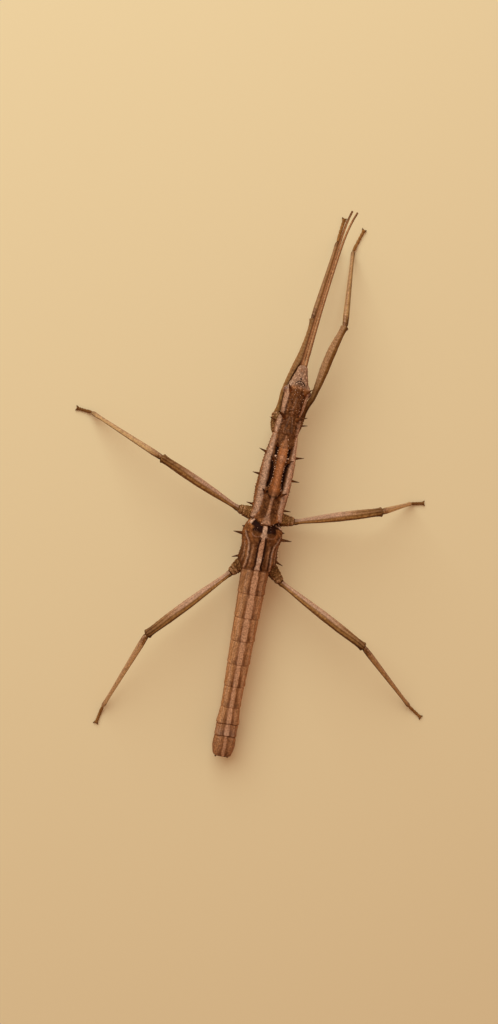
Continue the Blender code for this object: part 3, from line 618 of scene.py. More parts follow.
# %% Abdomen
def abdomen_marks(x, y, angle, grains):
    """Nine rings with a pale stripe, dark columns beside it, a lip at each rear edge, and painted shade on
    the right side.
    """
    side, top = np.abs(x), top_of(angle)
    number = np.clip(np.searchsorted(-JOINTS, -y, side="left") - 1, 0, 8)
    front, rear = JOINTS[number], JOINTS[number + 1]
    share = np.clip((front - y) / (front - rear), 0, 1)  # 0 at the ring's front, 1 at its rear
    half = np.array(STRIPE_HALF_WIDTHS)[number] * (0.82 + 0.18 * smooth(share, 0.1, 0.35))
    middle = -0.2 * between(y, -75, -35, 6.0)
    stripe = 1 - smooth(np.abs(x - middle) - half, -0.2, 0.2)
    column = smooth(side, half - 0.1, half + 0.15) * (1 - smooth(side, half + 0.5, half + 1.5))
    # the columns on the right are a little darker: painted shade
    column *= 0.65 + 0.35 * smooth(share, 0.3, 0.9) + 0.05 * (x > 0)
    patch = spot(x, rear - y, (1.9, -0.9), (1.2, 0.9), 0.6)
    patch += 0.5 * spot(x, front - y, (1.5, 0.5), (0.6, 0.5), 0.5)
    dots = spot(x, rear - y, (2.8, -1.8), (0.28, 0.28))
    edge = 1 - smooth(np.abs(np.abs(angle) - 1.5), 0.05, 0.22)
    corner = (1 - smooth(np.abs(np.abs(angle) - 1.5), 0.2, 0.6)) * smooth(share, 0.7, 0.96)
    light_line = line(x, y, ((-85, 2.6, 0.2), (-17, 3.3, 0.3)), 0.3)
    seventh = (number == 7).astype(float)
    last = (number == 8).astype(float)
    fibres = np.sin(5.3 * x + 1.2 * np.sin(0.45 * y)) * np.sin(2.9 * x - 0.3 * y)
    fibres *= (1 - stripe) * (1 - last)
    height = 0.05 * stripe + 0.05 * grains - 0.05 * column + 0.04 * light_line + 0.03 * fibres
    height += np.where(x > 0, 0.16, 0.06) * corner * (number < 7) + 0.08 * edge * grains
    pale = top * (0.44 * stripe + 0.2 * light_line + 0.2 * seventh * smooth(share, 0.2, 0.7))
    pale += top * (0.12 + 0.12 * fibres) * (1 - stripe) - 0.1 * last * stripe * top
    spots = np.clip(0.42 * column + 0.14 * patch + 0.12 * dots, 0, 0.5)
    dark = top * spots + 0.12 * edge + 0.04 * last + 0.45 * last * smooth(share, 0.93, 0.98)
    # the first term darkens the right side: painted shade
    dark += 0.05 * smooth(x, 1.0, 3.5) + 0.10 * np.clip(-fibres, 0, 1) + 0.05 * seventh
    dark += 0.12 * (1 - stripe) * smooth(y, -35, -18) - 0.05 * smooth(x, 0.8, 2.0)
    warm = top * (0.35 * stripe + 0.4 * column)
    tone = 0.6 + (grains - 0.55) * (0.45 + 0.2 * last - 0.2 * stripe) + 0.06 * fibres
    return height, np.clip(pale, 0, 1), dark, warm, tone


tried(abdomen_marks, 0.0, -30.0)

# %% [markdown]
# Where two plates or rings meet, one ends in a low lip and a dark groove follows. The lips are what
# makes the abdomen read as rings from far off, so they get real height.

# %% Joints between plates
def joints_between_plates(x, y):
    """Lips and grooves where plates and rings meet: their height and how dark they are."""
    places = [(PRO_REAR + 0.0 * x, 0.3, 0.1), (margin_at(x), 0.9, 0.8)]
    places.append((META_REAR - 0.01 * x * x, 0.7, 0.4))
    for i in range(1, 9):
        strong = i > 6
        places.append((JOINTS[i] + JOINT_ARCS[i] * x * x, 1.0 if strong else 0.6, 0.55 if strong else 0.2))
    height, dark = np.zeros(len(x)), np.zeros(len(x))
    for place, depth, shade in places:
        ahead = y - place
        height += 0.13 * depth * smooth(ahead, -0.1, 0.12) * (1 - smooth(ahead, 0.3, 1.6))
        height -= 0.2 * depth * smooth(ahead, -0.95, -0.25) * (1 - smooth(ahead, -0.12, 0.08))
        dark += shade * (1 - smooth(np.abs(ahead + 0.1), 0.04, 0.26))
    return height, dark


lips = joints_between_plates(np.zeros(2000), np.linspace(TAIL, NECK, 2000))[0]
print("lips and grooves from", round(lips.min(), 2), "to", round(lips.max(), 2), "mm")

# %% [markdown]
# One function gathers everything. It picks the marks of each region, adds the joints, the fold
# along the flanks, the rims of the eyes and a slow unevenness, and returns height, marks and tone
# for any points of the trunk. The borders of the regions wander a little with the noise.

# %% The whole relief
FAR_BACK, FAR_AHEAD = -200.0, 200.0
REGIONS = (  # marks of each region, its rear and its front
    (abdomen_marks, FAR_BACK, META_REAR),
    (rear_marks, META_REAR, 0.0),
    (middle_marks, 0.0, PRO_REAR),
    (neck_marks, PRO_REAR, NECK),
    (head_marks, NECK, FAR_AHEAD),
)


def trunk_relief(points, angle):
    """Height in mm and the four marks of every point of the straight trunk."""
    x, y = points[:, 0], points[:, 1]
    coarse = beads(points * (1, 0.9, 1), 0.66)
    fine = beads(points, 0.42, 0.55)
    share = np.where(y > 34, 0.8, np.where(y > META_REAR, 0.5, 0.15))
    grains = share * coarse + (1 - share) * fine
    total = np.zeros((len(x), 5))
    margin = margin_at(x)
    warp = points * 0.7
    wander_x = 0.16 * soft_noise(warp, 1.0, 9.0) + 0.10 * soft_noise(points, 2.1, 2.0)
    wander_y = 0.22 * soft_noise(warp, 1.0, 4.0) + 0.10 * soft_noise(points, 2.1, 7.0)
    for marks, rear, front in REGIONS:
        start = margin if rear == 0.0 else np.full(len(x), rear)
        stop = margin if front == 0.0 else np.full(len(x), front)
        here = (y >= start) & (y < stop)
        near_x, near_y = (x + wander_x)[here], np.clip(y + wander_y, start, stop - 1e-4)[here]
        values = marks(near_x, near_y, angle[here], grains[here])
        total[here] = np.stack(values, axis=1)
    lip, seam = joints_between_plates(x, y)
    total[:, 0] += lip
    total[:, 2] += seam * (0.35 + 0.65 * smooth(np.cos(angle), -0.2, 0.3))
    fold = 1 - smooth(np.abs(np.abs(angle) - 1.95), 0.03, 0.14)
    below = smooth(-np.cos(angle), 0.4, 0.7)
    total[:, 0] += -0.35 * fold * between(y, -88, 40, 1.0) + 0.03 * below * grains
    total[:, 2] += 0.35 * fold
    away = np.linalg.norm(points - EYE_PLACE, axis=1)
    away = np.minimum(away, np.linalg.norm(points - EYE_PLACE * (-1, 1, 1), axis=1))
    total[:, 0] += 0.25 * np.exp(-(((away - 1.62) / 0.2) ** 2))
    total[:, 2] += 0.3 * np.exp(-(((away - 1.45) / 0.15) ** 2))
    total[:, 0] += 0.07 * soft_noise(points, 0.35) + 0.035 * soft_noise(points, 1.1, 5.0)
    mottle = soft_noise(points * (1, 0.7, 1), 1.15, 12.0)
    total[:, 4] += mottle * np.where(y > META_REAR, 0.32, 0.2)
    tan = (1 - smooth(y, -30.0, -5.0)) * (1 - np.clip(2.0 * total[:, 2], 0, 1))
    tan *= 0.4 + 0.6 * smooth(y, JOINTS[7] - 0.3, JOINTS[7] + 0.3)
    return total[:, 0], np.column_stack([total[:, 1:4], tan]), total[:, 4]


flank_relief = trunk_relief(np.array([[5.9, 20.0, 0.0]]), np.array([math.pi / 2]))[0]
print("relief at the flank:", round(float(flank_relief[0]), 2), "mm")

# %% [markdown]
# ## The skin of the trunk
#
# The skin starts as a filled ring extruded along the body, with a row about every 1.7 mm. Three
# levels of subdivision give faces of a quarter of a millimetre, small enough for the grains. Each
# point then goes to its exact place on the section, is pushed out by the relief, keeps its marks
# as a painted value, and is bent with the body at last. Sculpting could give the same forms, and a
# texture the same colours, but here both come from one place and can't drift apart.

# %% Skin of the trunk
SKIN_ROWS, SKIN_SIDES = (91), 16
SKIN_LEVELS = 3


def trunk_point_places(points):
    """Angle from the top and share of the radius of every point of the split rod."""
    wide, high, lift = section(points[:, 1])
    across, up = points[:, 0] / wide, (points[:, 2] - lift) / high
    angle = np.arctan2(across, up)
    share = np.clip(np.hypot(across, up) / 0.97, 0, 1)
    inside = (points[:, 1] > FINE_Y[0] + 0.3) & (points[:, 1] < FINE_Y[-1] - 0.3)
    return angle - 0.3 * np.sin(angle), np.where(inside, 1.0, share)


def push_out(points, angle, height):
    """Points moved along the normal of the section."""
    wide, high, _ = section(points[:, 1])
    across, up = np.sin(angle), np.cos(angle)
    power = BOXINESS - 1
    normal_x = np.sign(across) * np.abs(across) ** power / wide
    normal_z = np.sign(up) * np.abs(up) ** power / high
    normal = np.stack([normal_x, 0 * up, normal_z], axis=1)
    normal /= np.linalg.norm(normal, axis=1)[:, None]
    return points + normal * height[:, None]


def build_trunk(material):
    """The one skin that stands for the head, the three plates and the nine rings."""
    stations = np.linspace(FINE_Y[0], FINE_Y[-1], SKIN_ROWS)
    rows = [(y, *[float(v) for v in section(y)]) for y in stations]
    skin = apply_subdivision(rod("body_skin", rows, SKIN_SIDES), SKIN_LEVELS)
    raw = points_of(skin)
    raw[:, 1] = np.clip(raw[:, 1], FINE_Y[0], FINE_Y[-1])
    angle, share = trunk_point_places(raw)
    points = on_section(raw[:, 1], angle, share)
    height, marks, tone = trunk_relief(points, angle)
    full = np.minimum(1, smooth(share, 0.2, 0.9))
    points = push_out(points, angle, height * full)
    end = np.where(raw[:, 1] > 0, 1, -1) * (share < 1) * 0.5 * (1 - share**2)
    points[:, 1] += end
    dress(skin, in_frame(points), points, marks, tone)
    plates = ["head", "prothorax", "mesothorax", "metathorax"]
    rings = [f"abdomen_{number}" for number in range(2, 11)]
    return finish_piece(skin, material, "cuticle_thorax", *plates, *rings)


print("the skin has", SKIN_ROWS, "rows of", SKIN_SIDES, "points, split", SKIN_LEVELS, "times")

# %% [markdown]
# ## Spines
#
# One spine is modelled: a cone with a flared foot and a slight bend. Copies of it, each with its
# own size and direction, make the horns, the spines of the thorax and the small teeth on its sides.
# Pulled out of the skin, a spine would be blunt, because the skin's faces are too big for a sharp
# tip. A mirrored pair needs no mirrored mesh, because the spine is round.

# %% One spine, many copies
SPINE_ROOT = 0.6  # how deep a spine is set in the skin
SPINE_CURL = 0.06  # how far the tip lifts, as a share of the length
SPINE_SHIFT, BEAD_SHIFT, MOUTH_SHIFT = 300, 150, 50  # each reads its own part of the noise
SPINES = (  # place, direction on the right, length, radius at the foot
    ((2.7, 50.4, 4.1), (0.48, 0.50, 0.72), 4.3, 0.95),
    ((2.3, 40.5, 3.0), (0.64, 0.30, 0.70), 5.5, 0.95),
    ((4.4, 38.7, -0.2), (0.95, 0.24, 0.1), 3.3, 0.65),
    ((5.4, 26.5, 0.9), (0.96, 0.24, 0.2), 3.7, 0.75),
    ((5.9, 18.0, 0.9), (0.97, 0.05, 0.2), 3.5, 0.75),
    ((5.7, 6.3, 0.2), (0.97, 0.1, 0.15), 3.3, 0.7),
    ((2.4, 29.9, 3.7), (0.45, 0.45, 0.77), 2.8, 0.6),
    ((3.0, 24.6, 4.0), (0.5, 0.3, 0.8), 3.3, 0.65),
    ((3.2, 12.0, 4.3), (0.5, 0.4, 0.76), 3.7, 0.75),
    ((6.7, -2.3, 0.4), (0.98, 0.1, 0.15), 1.7, 1.0),
    ((7.0, -4.9, 1.0), (0.97, 0.06, 0.2), 4.6, 0.95),
    ((6.9, -13.4, 0.4), (0.93, -0.32, 0.15), 3.4, 0.75),
)


def unit_spine():
    """A spine along Y with its foot at 0, length 1 and foot radius 1."""
    rows = [(0.0, 1.25, 1.25, 0.0), (0.08, 1.05, 1.05, 0.0), (0.3, 0.82, 0.82, 0.01)]
    rows += [(0.55, 0.58, 0.58, 0.03), (0.8, 0.34, 0.34, 0.06), (0.94, 0.18, 0.18, 0.09)]
    rows.append((1.0, 0.07, 0.07, 0.1))
    return apply_subdivision(rod("spine", rows, 8), 1)


def aimed(direction):
    """A turn that takes Y to a direction and keeps Z as high as it can."""
    way = Vector(direction).normalized()
    up = Vector((0, 0, 1)) if abs(way.z) < 0.98 else Vector((0, 1, 0))
    side = way.cross(up).normalized()
    return np.array([side, way, side.cross(way)]).T


def copied(piece, name):
    """A copy with its own mesh."""
    made = piece.copy()
    made.data = piece.data.copy()
    made.name = made.data.name = name
    bpy.context.collection.objects.link(made)
    return made


def joined(pieces, name):
    """Pieces made one, under a name."""
    deselect()
    for piece in pieces:
        piece.select_set(True)
    bpy.context.view_layer.objects.active = pieces[0]
    bpy.ops.object.join()
    pieces[0].name = pieces[0].data.name = name
    return pieces[0]


def placed_spine(model, foot, direction, length, radius, place=in_frame, curl=1.0, dark=0.45):
    """A copy of the spine with its foot at a point. Place takes points to metres."""
    piece = copied(model, "spine copy")
    local = points_of(piece)
    height = np.clip(local[:, 1], 0, 1)
    local = np.column_stack([local[:, 0] * radius, height * length, local[:, 2] * radius])
    local[:, 2] += curl * SPINE_CURL * length * height**2
    points = local @ aimed(direction).T + np.array(foot)
    tip = smooth(height, 0.1, 0.6)
    marks = np.column_stack([0 * tip, dark + 0.3 * tip, 0.3 * (1 - tip), 0 * tip])
    dress(piece, place(points), points + SPINE_SHIFT, marks)
    return piece


print(len(SPINES), "pairs of spines, the longest", max(row[2] for row in SPINES), "mm")

# %% [markdown]
# The spines stand in pairs. The teeth are the same spine made tiny, in uneven rows along the
# sides. Their places come from a seeded random generator, so that each run gives the same insect.

# %% Spines and teeth
TEETH = (  # rows of small teeth along the sides: from y, to y, step, angle from the top
    (1.5, 33.0, 1.25, 1.62),
    (-16.2, -5.6, 1.15, 1.50),
    (42.6, 49.0, 1.3, 1.45),
    (-52.0, -18.0, 1.15, 1.50),
)
HORN_DARK, THORN_DARK = 0.25, 0.45


def build_spines(material):
    """All spines and teeth as one piece."""
    model = unit_spine()
    chance = random.Random(4)
    copies = []
    for place, direction, length, radius in SPINES:
        for side in (1, -1):
            way = np.array(direction) * (side, 1, 1)
            way /= np.linalg.norm(way)
            foot = np.array(place) * (side, 1, 1) - way * SPINE_ROOT
            reach = length + SPINE_ROOT - 0.15
            dark = HORN_DARK if place[1] > NECK else THORN_DARK
            copies.append(placed_spine(model, foot, way, reach, radius * 0.88, dark=dark))
    teeth = [(y, row[3]) for row in TEETH for y in np.arange(*row[:3])]
    for y, angle in teeth:
        for side in (1, -1):
            at = y + chance.uniform(-0.3, 0.3)
            turn = side * (angle + chance.uniform(-0.12, 0.05))
            place = on_section(np.array([at]), np.array([turn]))[0]
            way = (side, chance.uniform(-0.15, 0.3), 0.25)
            size = chance.uniform(0.28, 0.6) * (1.0 if y > META_REAR else 0.5)
            copies.append(placed_spine(model, place, way, size, size * 0.45))
    piece = joined(copies, "spines")
    bpy.data.objects.remove(model, do_unlink=True)
    return finish_piece(piece, material, "cuticle_thorax")


print(len(TEETH), "rows of teeth on each side")

# %% [markdown]
# ## Beads
#
# White beads edge the orange band, and smaller ones are strewn over the thorax and the head. One
# low bead of a few dozen faces is modelled and copied, then all the copies are joined. A white dot
# in the paint would look flat from the side, while a bead catches the light.

# %% Beads of the thorax
BAND_BEADS = ((-2.4, 25.8, 0.42), (-3.5, 23.9, 0.3), (2.6, 25.7, 0.3), (3.0, 13.9, 0.28))
BAND_BEADS += ((-1.6, 0.2, 0.22), (2.1, -0.1, 0.22), (2.9, 0.6, 0.2), (0.9, 32.6, 0.22))
STREWN_BEADS = (  # how many on each side, ranges of distance from the middle, of y and of radius
    (60, (4.0, 5.5), (2, 34), (0.08, 0.15)),
    (36, (0.0, 4.2), (-16.5, 33), (0.06, 0.11)),
    (26, (0.2, 4.0), (41.8, 52), (0.09, 0.16)),
)
EDGE_BEADS_FRONT, EDGE_BEADS_REAR = 30.4, 13.4


def surface(x, y):
    """Points on the finished back, in mm of the straight body, at x and y."""
    angle = angle_at(x, y)
    points = on_section(y, angle)
    height = trunk_relief(points, angle)[0]
    return push_out(points, angle, height)


def build_beads(material):
    """All beads as one piece."""
    deselect()
    bpy.ops.mesh.primitive_uv_sphere_add(segments=8, ring_count=5, radius=1.0)
    model = bpy.context.object
    chance = random.Random(11)
    spots = [list(bead) for bead in BAND_BEADS]
    for side in (1, -1):
        y = EDGE_BEADS_FRONT
        while y > EDGE_BEADS_REAR:
            edge = float(band_half_width(y)) + chance.uniform(-0.05, 0.2)
            spots.append([side * edge, y, chance.uniform(0.12, 0.22)])
            y -= chance.uniform(0.7, 1.5)
        for number, *ranges in STREWN_BEADS:
            for _ in range(number):
                aside, along, radius = [chance.uniform(*limits) for limits in ranges]
                spots.append([side * aside, along, radius])
        for i in range(9):
            spots.append([side * (5.2 + i * 0.12), 1.7 - i * 0.3, chance.uniform(0.12, 0.19)])
    spots = np.array(spots)
    places = surface(spots[:, 0], spots[:, 1])
    copies = []
    for place, size in zip(places, spots[:, 2]):
        piece = copied(model, "bead copy")
        points = points_of(piece) * size + place
        pale = 0.95 if size > 0.12 else 0.55
        dress(piece, in_frame(points), points + BEAD_SHIFT, (pale, 0, 0, 0), 0.85)
        copies.append(piece)
    bpy.data.objects.remove(model, do_unlink=True)
    return finish_piece(joined(copies, "beads"), material, "cuticle_thorax")


print("height of the back at the band:", round(float(surface(np.zeros(1), np.full(1, 20.0))[0, 2]), 2), "mm")

# %% [markdown]
# ## Eyes and mouth
#
# The eyes are small globes set in the sides of the head. The fine facets come from the material,
# and the rim round each eye is part of the skin's relief. The mouth is a blunt wedge under the
# front of the head, with two pairs of little palps. It is hardly seen, so plain rods will do.

# %% Eyes and mouth
EYE_SHIFT = (0.28, 0.0, 0.1)  # how far the globe stands out of its socket
MOUTH_REAR, MOUTH_FRONT, MOUTH_DROP = 55.3, 59.7, 2.1
PALPS = ((2.0, 1.1, 0.26), (1.5, 0.55, 0.2))  # length, distance from the middle, radius


def build_eye(mark, material):
    """A globe with its poles to the sides, so that they look away from the middle."""
    deselect()
    bpy.ops.mesh.primitive_uv_sphere_add(
        segments=48, ring_count=28, radius=EYE_RADIUS * 0.98, rotation=(0, math.pi / 2, 0)
    )
    piece = bpy.context.object
    bpy.ops.object.transform_apply(rotation=True)
    piece.name = piece.data.name = f"eyeball_{mark}"
    local = points_of(piece)
    paint(piece, "place_mm", local)
    place = (EYE_PLACE + EYE_SHIFT) * (side_of(mark), 1, 1)
    move_points(piece, in_frame(local + place))
    return finish_piece(piece, material, "eye", f"eye_{mark}")


def build_mouth(material):
    """The wedge of the mouth with its four palps."""
    rows = [(MOUTH_REAR, 1.2, 0.8, 0.0), (MOUTH_REAR + 0.5, 1.5, 1.0, 0.0)]
    rows += [(57.0, 1.5, 1.0, 0.0), (58.0, 1.35, 0.9, 0.0), (59.0, 1.1, 0.8, 0.05)]
    rows += [(59.5, 0.9, 0.62, 0.1), (MOUTH_FRONT, 0.6, 0.35, 0.15)]
    lift = HEAD_LIFT - MOUTH_DROP
    piece = rod("mouth", [(y, w, h, lift + up) for y, w, h, up in rows], 12)
    apply_subdivision(piece, 2)
    palps = []
    for side in (1, -1):
        for reach, out, size in PALPS:
            palp_rows = [(0.0, size, size, 0.0)]
            for joint in (0.4, 0.7, 1.0):
                palp_rows.append((reach * joint - 0.2, size * 1.15, size * 1.15, 0.0))
                palp_rows.append((reach * joint, size * 0.7, size * 0.7, 0.0))
            palp = apply_subdivision(rod("palp", palp_rows, 8), 1)
            foot = np.array([side * out, 57.4, lift - 0.55])
            way = (side * 0.35, 1.0, -0.45)
            move_points(palp, points_of(palp) @ aimed(way).T + foot)
            palps.append(palp)
    piece = joined([piece] + palps, "mouth")
    points = points_of(piece)
    dress(piece, in_frame(points), points + MOUTH_SHIFT, (0.35, 0.2, 0.3, 0))
    return finish_piece(piece, material, "cuticle_thorax", "mouthparts")


print("an eye is", 2 * EYE_RADIUS, "mm wide, and the mouth", round(MOUTH_FRONT - MOUTH_REAR, 1), "mm long")

# %% [markdown]
# ## Feelers
#
# Each feeler is one rod with a long first joint, a short second one and about forty rings. The
# rings get longer towards the tip. The rod is made straight and then laid along the same gently
# curving line as the solid.

# %% Feelers
FEELER_LENGTH = 59.5
FEELER_SPACINGS = (1.42, 1.24, 1.08, 1.02, 0.98, 1.12, 2.0)
FEELER_RADII = (0.78, 0.67, 0.57, 0.53, 0.51, 0.46, 0.38)
FEELER_YAWS = (0.6, 1.6, 2.2, 2.6, 3.0, 6.0, 18.0)
FEELER_RISE = math.radians(-1.0)
FEELER_STATIONS = np.linspace(0, FEELER_LENGTH, 21)


def spread_out(values, share):
    """A value at a share of the length, from values at even steps along it."""
    return np.interp(share, np.linspace(0, 1, len(values)), values)


def feeler_line(mark):
    """The middle line of a feeler, in mm of the straight body, at its stations."""
    middle = np.array([0, HEAD_FRONT + 0.3, HEAD_LIFT - 0.1])
    steps = len(FEELER_STATIONS) - 1
    line_points = []
    for i in range(steps + 1):
        share = i / steps
        aside = side_of(mark) * spread_out(FEELER_SPACINGS, share) / 2
        line_points.append(middle + (aside, 0, 0))
        yaw = math.radians(spread_out(FEELER_YAWS, share))
        way = np.array([math.sin(yaw), math.cos(yaw), math.sin(FEELER_RISE)])
        middle = middle + way / np.linalg.norm(way) * FEELER_LENGTH / steps
    return np.array(line_points)


print("tip of the right feeler at", np.round(feeler_line("R")[-1], 1), "mm")

# %% [markdown]
# The ringed rod gets three rows for each ring: narrow at its foot, full before its end, and
# narrow again. Extruding by hand would be the same work forty times over, so a loop does it.

# %% Rings of the feelers
def feeler_rows():
    """Rows of the straight feeler: distance along it and radius."""
    rows = [(-0.7, 0.6), (-0.2, 0.72), (0.5, 0.7), (1.6, 0.66), (2.5, 0.68), (2.85, 0.64)]
    rows += [(3.0, 0.56), (3.15, 0.62), (4.0, 0.64), (4.2, 0.57)]
    start, length = 4.2, 0.95
    while start < FEELER_LENGTH - 0.3:
        end = min(start + length, FEELER_LENGTH - 0.02)
        thick = float(spread_out(FEELER_RADII, start / FEELER_LENGTH))
        rows += [(start + 0.12, thick * 0.95), (end - 0.2, thick * 1.01), (end, thick * 0.88)]
        start, length = end, length * 1.025
    rows[-1] = (rows[-1][0], 0.12)
    return rows


def build_feeler(mark, material):
    """A ringed rod laid along the line of a feeler, with a painted highlight on its inner side and top and
    painted shade on its outer side.
    """
    piece = rod(f"thread_{mark}", [(y, r, r, 0.0) for y, r in feeler_rows()], 10)
    local = points_of(piece)
    middle = feeler_line(mark)

    def on_line(distance):
        """Places on the middle line at a distance from its start."""
        columns = [np.interp(distance, FEELER_STATIONS, middle[:, k]) for k in range(3)]
        return np.column_stack(columns)

    y = local[:, 1]
    place = on_line(y)
    place[:, 1] += np.minimum(y, 0)
    along = np.clip(y, 0, FEELER_LENGTH)
    way = on_line(along + 0.5) - on_line(along - 0.5)
    way /= np.linalg.norm(way, axis=1)[:, None]
    side = np.cross(way, (0, 0, 1))
    side /= np.linalg.norm(side, axis=1)[:, None]
    up = np.cross(side, way)
    points = place + side * local[:, :1] + up * local[:, 2:]
    inner = -side_of(mark) * local[:, 0]
    marks = np.zeros((len(local), 4))
    # painted highlight: pale on the inner side, where the two feelers touch, and on top
    marks[:, 0] = smooth(inner, 0.0, 0.45) * 0.5 + 0.15 * smooth(local[:, 2], 0.1, 0.5)
    # painted shade on the outer side, strongest on the left feeler beside the fore thigh, and a dark tip
    outside = 0.8 if mark == "L" else 0.45
    marks[:, 1] = outside * smooth(-inner, 0.05, 0.45) + 0.5 * smooth(y, 52, 60)
    marks[:, 2] = 0.5 * (1 - smooth(y, 40, 58))
    dress(piece, in_frame(points), local, marks)
    return finish_piece(piece, material, "feeler", f"feeler_{mark}")


print("a feeler has", len(feeler_rows()), "rows over", FEELER_LENGTH, "mm")

# %% [markdown]
# ## Legs
#
# A leg has a grainy hip piece, a keeled thigh that swells at the knee, a slimmer shank and a
# foot of five joints with two claws. The first three are the same thing: a straight rod with
# ridges along it. One such rod is modelled. Each copy takes its own length, its own radii and
# its own ridges, and is laid between the two joints that it spans.

# %% Sizes and joints of the legs
LEG_SIZES = {  # thigh, shank and foot lengths, radii of thigh, shank and hip piece
    "fore": (36.6, 40.0, 10.0, (1.02, 1.85, 1.35), (1.25, 0.8), (2.05, 1.65)),
    "mid": (34.6, 37.5, 5.9, (1.12, 1.85, 1.62), (1.25, 0.82), (2.7, 1.8)),
    "hind": (39.2, 42.6, 7.0, (1.18, 1.88, 1.62), (1.25, 0.8), (2.7, 1.85)),
}
COXA_ROOTS = {"fore": (3.9, 35.9, -2.4), "mid": (3.6, 2.6, -1.0), "hind": (4.2, -14.8, -0.8)}
HIPS = {
    ("fore", "L"): (-4.6, 42.2, -4.9),
    ("fore", "R"): (5.5, 42.6, -4.9),
    ("mid", "L"): (-11.0, 3.4, -1.7),
    ("mid", "R"): (11.6, 3.0, -1.7),
    ("hind", "L"): (-9.0, -21.0, -1.5),
    ("hind", "R"): (11.0, -21.2, -1.5),
}
LEG_POSES = {  # heading of the thigh, its rise, headings of shank and foot, in degrees from +X
    ("fore", "L"): (81.2, 7.5, 81.2, 85.0),
    ("fore", "R"): (78.3, 13.0, 88.9, 74.0),
    ("mid", "L"): (159.1, 12.8, 157.7, 176.0),
    ("mid", "R"): (20.7, 34.4, 18.8, 14.0),
    ("hind", "L"): (-134.6, 18.0, -106.6, -100.3),
    ("hind", "R"): (-26.1, 14.0, -37.5, -31.0),
}
FORE_BENDS = {"L": (0.75, 0.68, 0.4), "R": (0.05, 0.45, 0.4)}  # arc, S round the head, hip end
FORE_HIP_SIZES = {"L": 1.08, "R": 0.66}
ANKLE_HEIGHT, FOOT_HEIGHT = 1.5, 0.5


def heading(azimuth, rise=0.0):
    """A direction from its angle round Z and its rise, in degrees."""
    a, e = math.radians(azimuth), math.radians(rise)
    return np.array([math.cos(e) * math.cos(a), math.cos(e) * math.sin(a), math.sin(e)])


def leg_joints(pair, mark):
    """Root of the hip piece, hip, knee, ankle and toe of a leg, in mm of the frame."""
    side = side_of(mark)
    turn = (REAR_PITCH, REAR_YAW) if pair == "hind" else (BODY_PITCH, THORAX_YAW)
    both = np.array([np.array(COXA_ROOTS[pair]) * (side, 1, 1), HIPS[pair, mark]])
    root, hip = turned(both, *turn) + (0, 0, AXIS_HEIGHT) + SHIFT
    thigh, shank, foot = LEG_SIZES[pair][:3]
    femur_way, rise, tibia_way, foot_way = LEG_POSES[pair, mark]
    knee = hip + heading(femur_way, rise) * thigh
    drop = knee[2] - ANKLE_HEIGHT
    ankle = knee + heading(tibia_way) * math.sqrt(shank**2 - drop**2) - (0, 0, drop)
    toe = ankle + heading(foot_way) * foot
    toe[2] = FOOT_HEIGHT
    return root, hip, knee, ankle, toe


LEGS = {(pair, mark): leg_joints(pair, mark) for pair, mark in LEG_POSES}
for leg, joints in LEGS.items():
    print(leg, "knee", np.round(joints[2], 1), "toe", np.round(joints[4], 1))


# %% [markdown]
# The ridges are given by angle from the top of the limb. A thigh has a pair above and a pair
# below, the lower ones toothed, and a low one underneath. A shank is plainer, and a hip piece is
# all grains with two raised rims. One function for each gives the height over the plain rod.

# %% Ridges of the limbs
def ridge_at(angle, place, width):
    """1 on a ridge at an angle from the top, falling off over a width in radians."""
    away = np.abs((angle - place + math.pi) % math.tau - math.pi)
    return np.exp(-((away / width) ** 2))


def thigh_relief(y, share, angle, grains):
    """Keels above, toothed keels below, flat sides and two lobes at the knee."""
    keels = ridge_at(angle, 0.65, 0.2) + ridge_at(angle, -0.65, 0.2)
    lower = ridge_at(angle, 2.2, 0.2) + ridge_at(angle, -2.2, 0.2)
    tooth = np.abs(((y / 2.1) % 1) - 0.5) * 2
    teeth = smooth(tooth, 0.55, 1.0) * between(share, 0.25, 0.95, 0.05)
    body = between(share, 0.07, 0.96, 0.03)
    lobes = (ridge_at(angle, 1.57, 0.5) + ridge_at(angle, -1.57, 0.5)) * smooth(share, 0.955, 0.975)
    flats = ridge_at(angle, 1.35, 0.4) + ridge_at(angle, -1.35, 0.4)
    height = body * (0.16 * keels + 0.16 * lower + 0.14 * lower * teeth - 0.06 * flats)
    return height + 0.32 * lobes + 0.07 * body * ridge_at(angle, math.pi, 0.25) + 0.04 * grains


def shank_relief(y, share, angle, grains):
    """Four low keels, the lower two toothed."""
    keels = sum(ridge_at(angle, place, 0.22) for place in (0.75, -0.75, 2.35, -2.35))
    tooth = np.abs(((y / 2.6) % 1) - 0.5) * 2
    teeth = smooth(tooth, 0.6, 1.0) * between(share, 0.2, 0.9, 0.05)
    lower = ridge_at(angle, 2.35, 0.22) + ridge_at(angle, -2.35, 0.22)
    body = between(share, 0.05, 0.96, 0.03)
    return body * (0.09 * keels + 0.07 * lower * teeth) + 0.03 * grains


def hip_relief(y, share, angle, grains):
    """Grains, two raised rims and two short keels. It has no teeth, and so no use for y."""
    rim = between(share, 0.62, 0.70, 0.02) + between(share, 0.76, 0.9, 0.02)
    rim -= between(share, 0.71, 0.75, 0.01) + between(share, 0.92, 0.96, 0.01)
    keels = ridge_at(angle, 0.5, 0.25) + ridge_at(angle, -0.9, 0.25)
    return 0.13 * grains + 0.12 * rim + 0.22 * keels * (1 - smooth(share, 0.5, 0.62))


RELIEFS = {"thigh": thigh_relief, "shank": shank_relief, "hip": hip_relief}
print("reliefs:", ", ".join(RELIEFS))
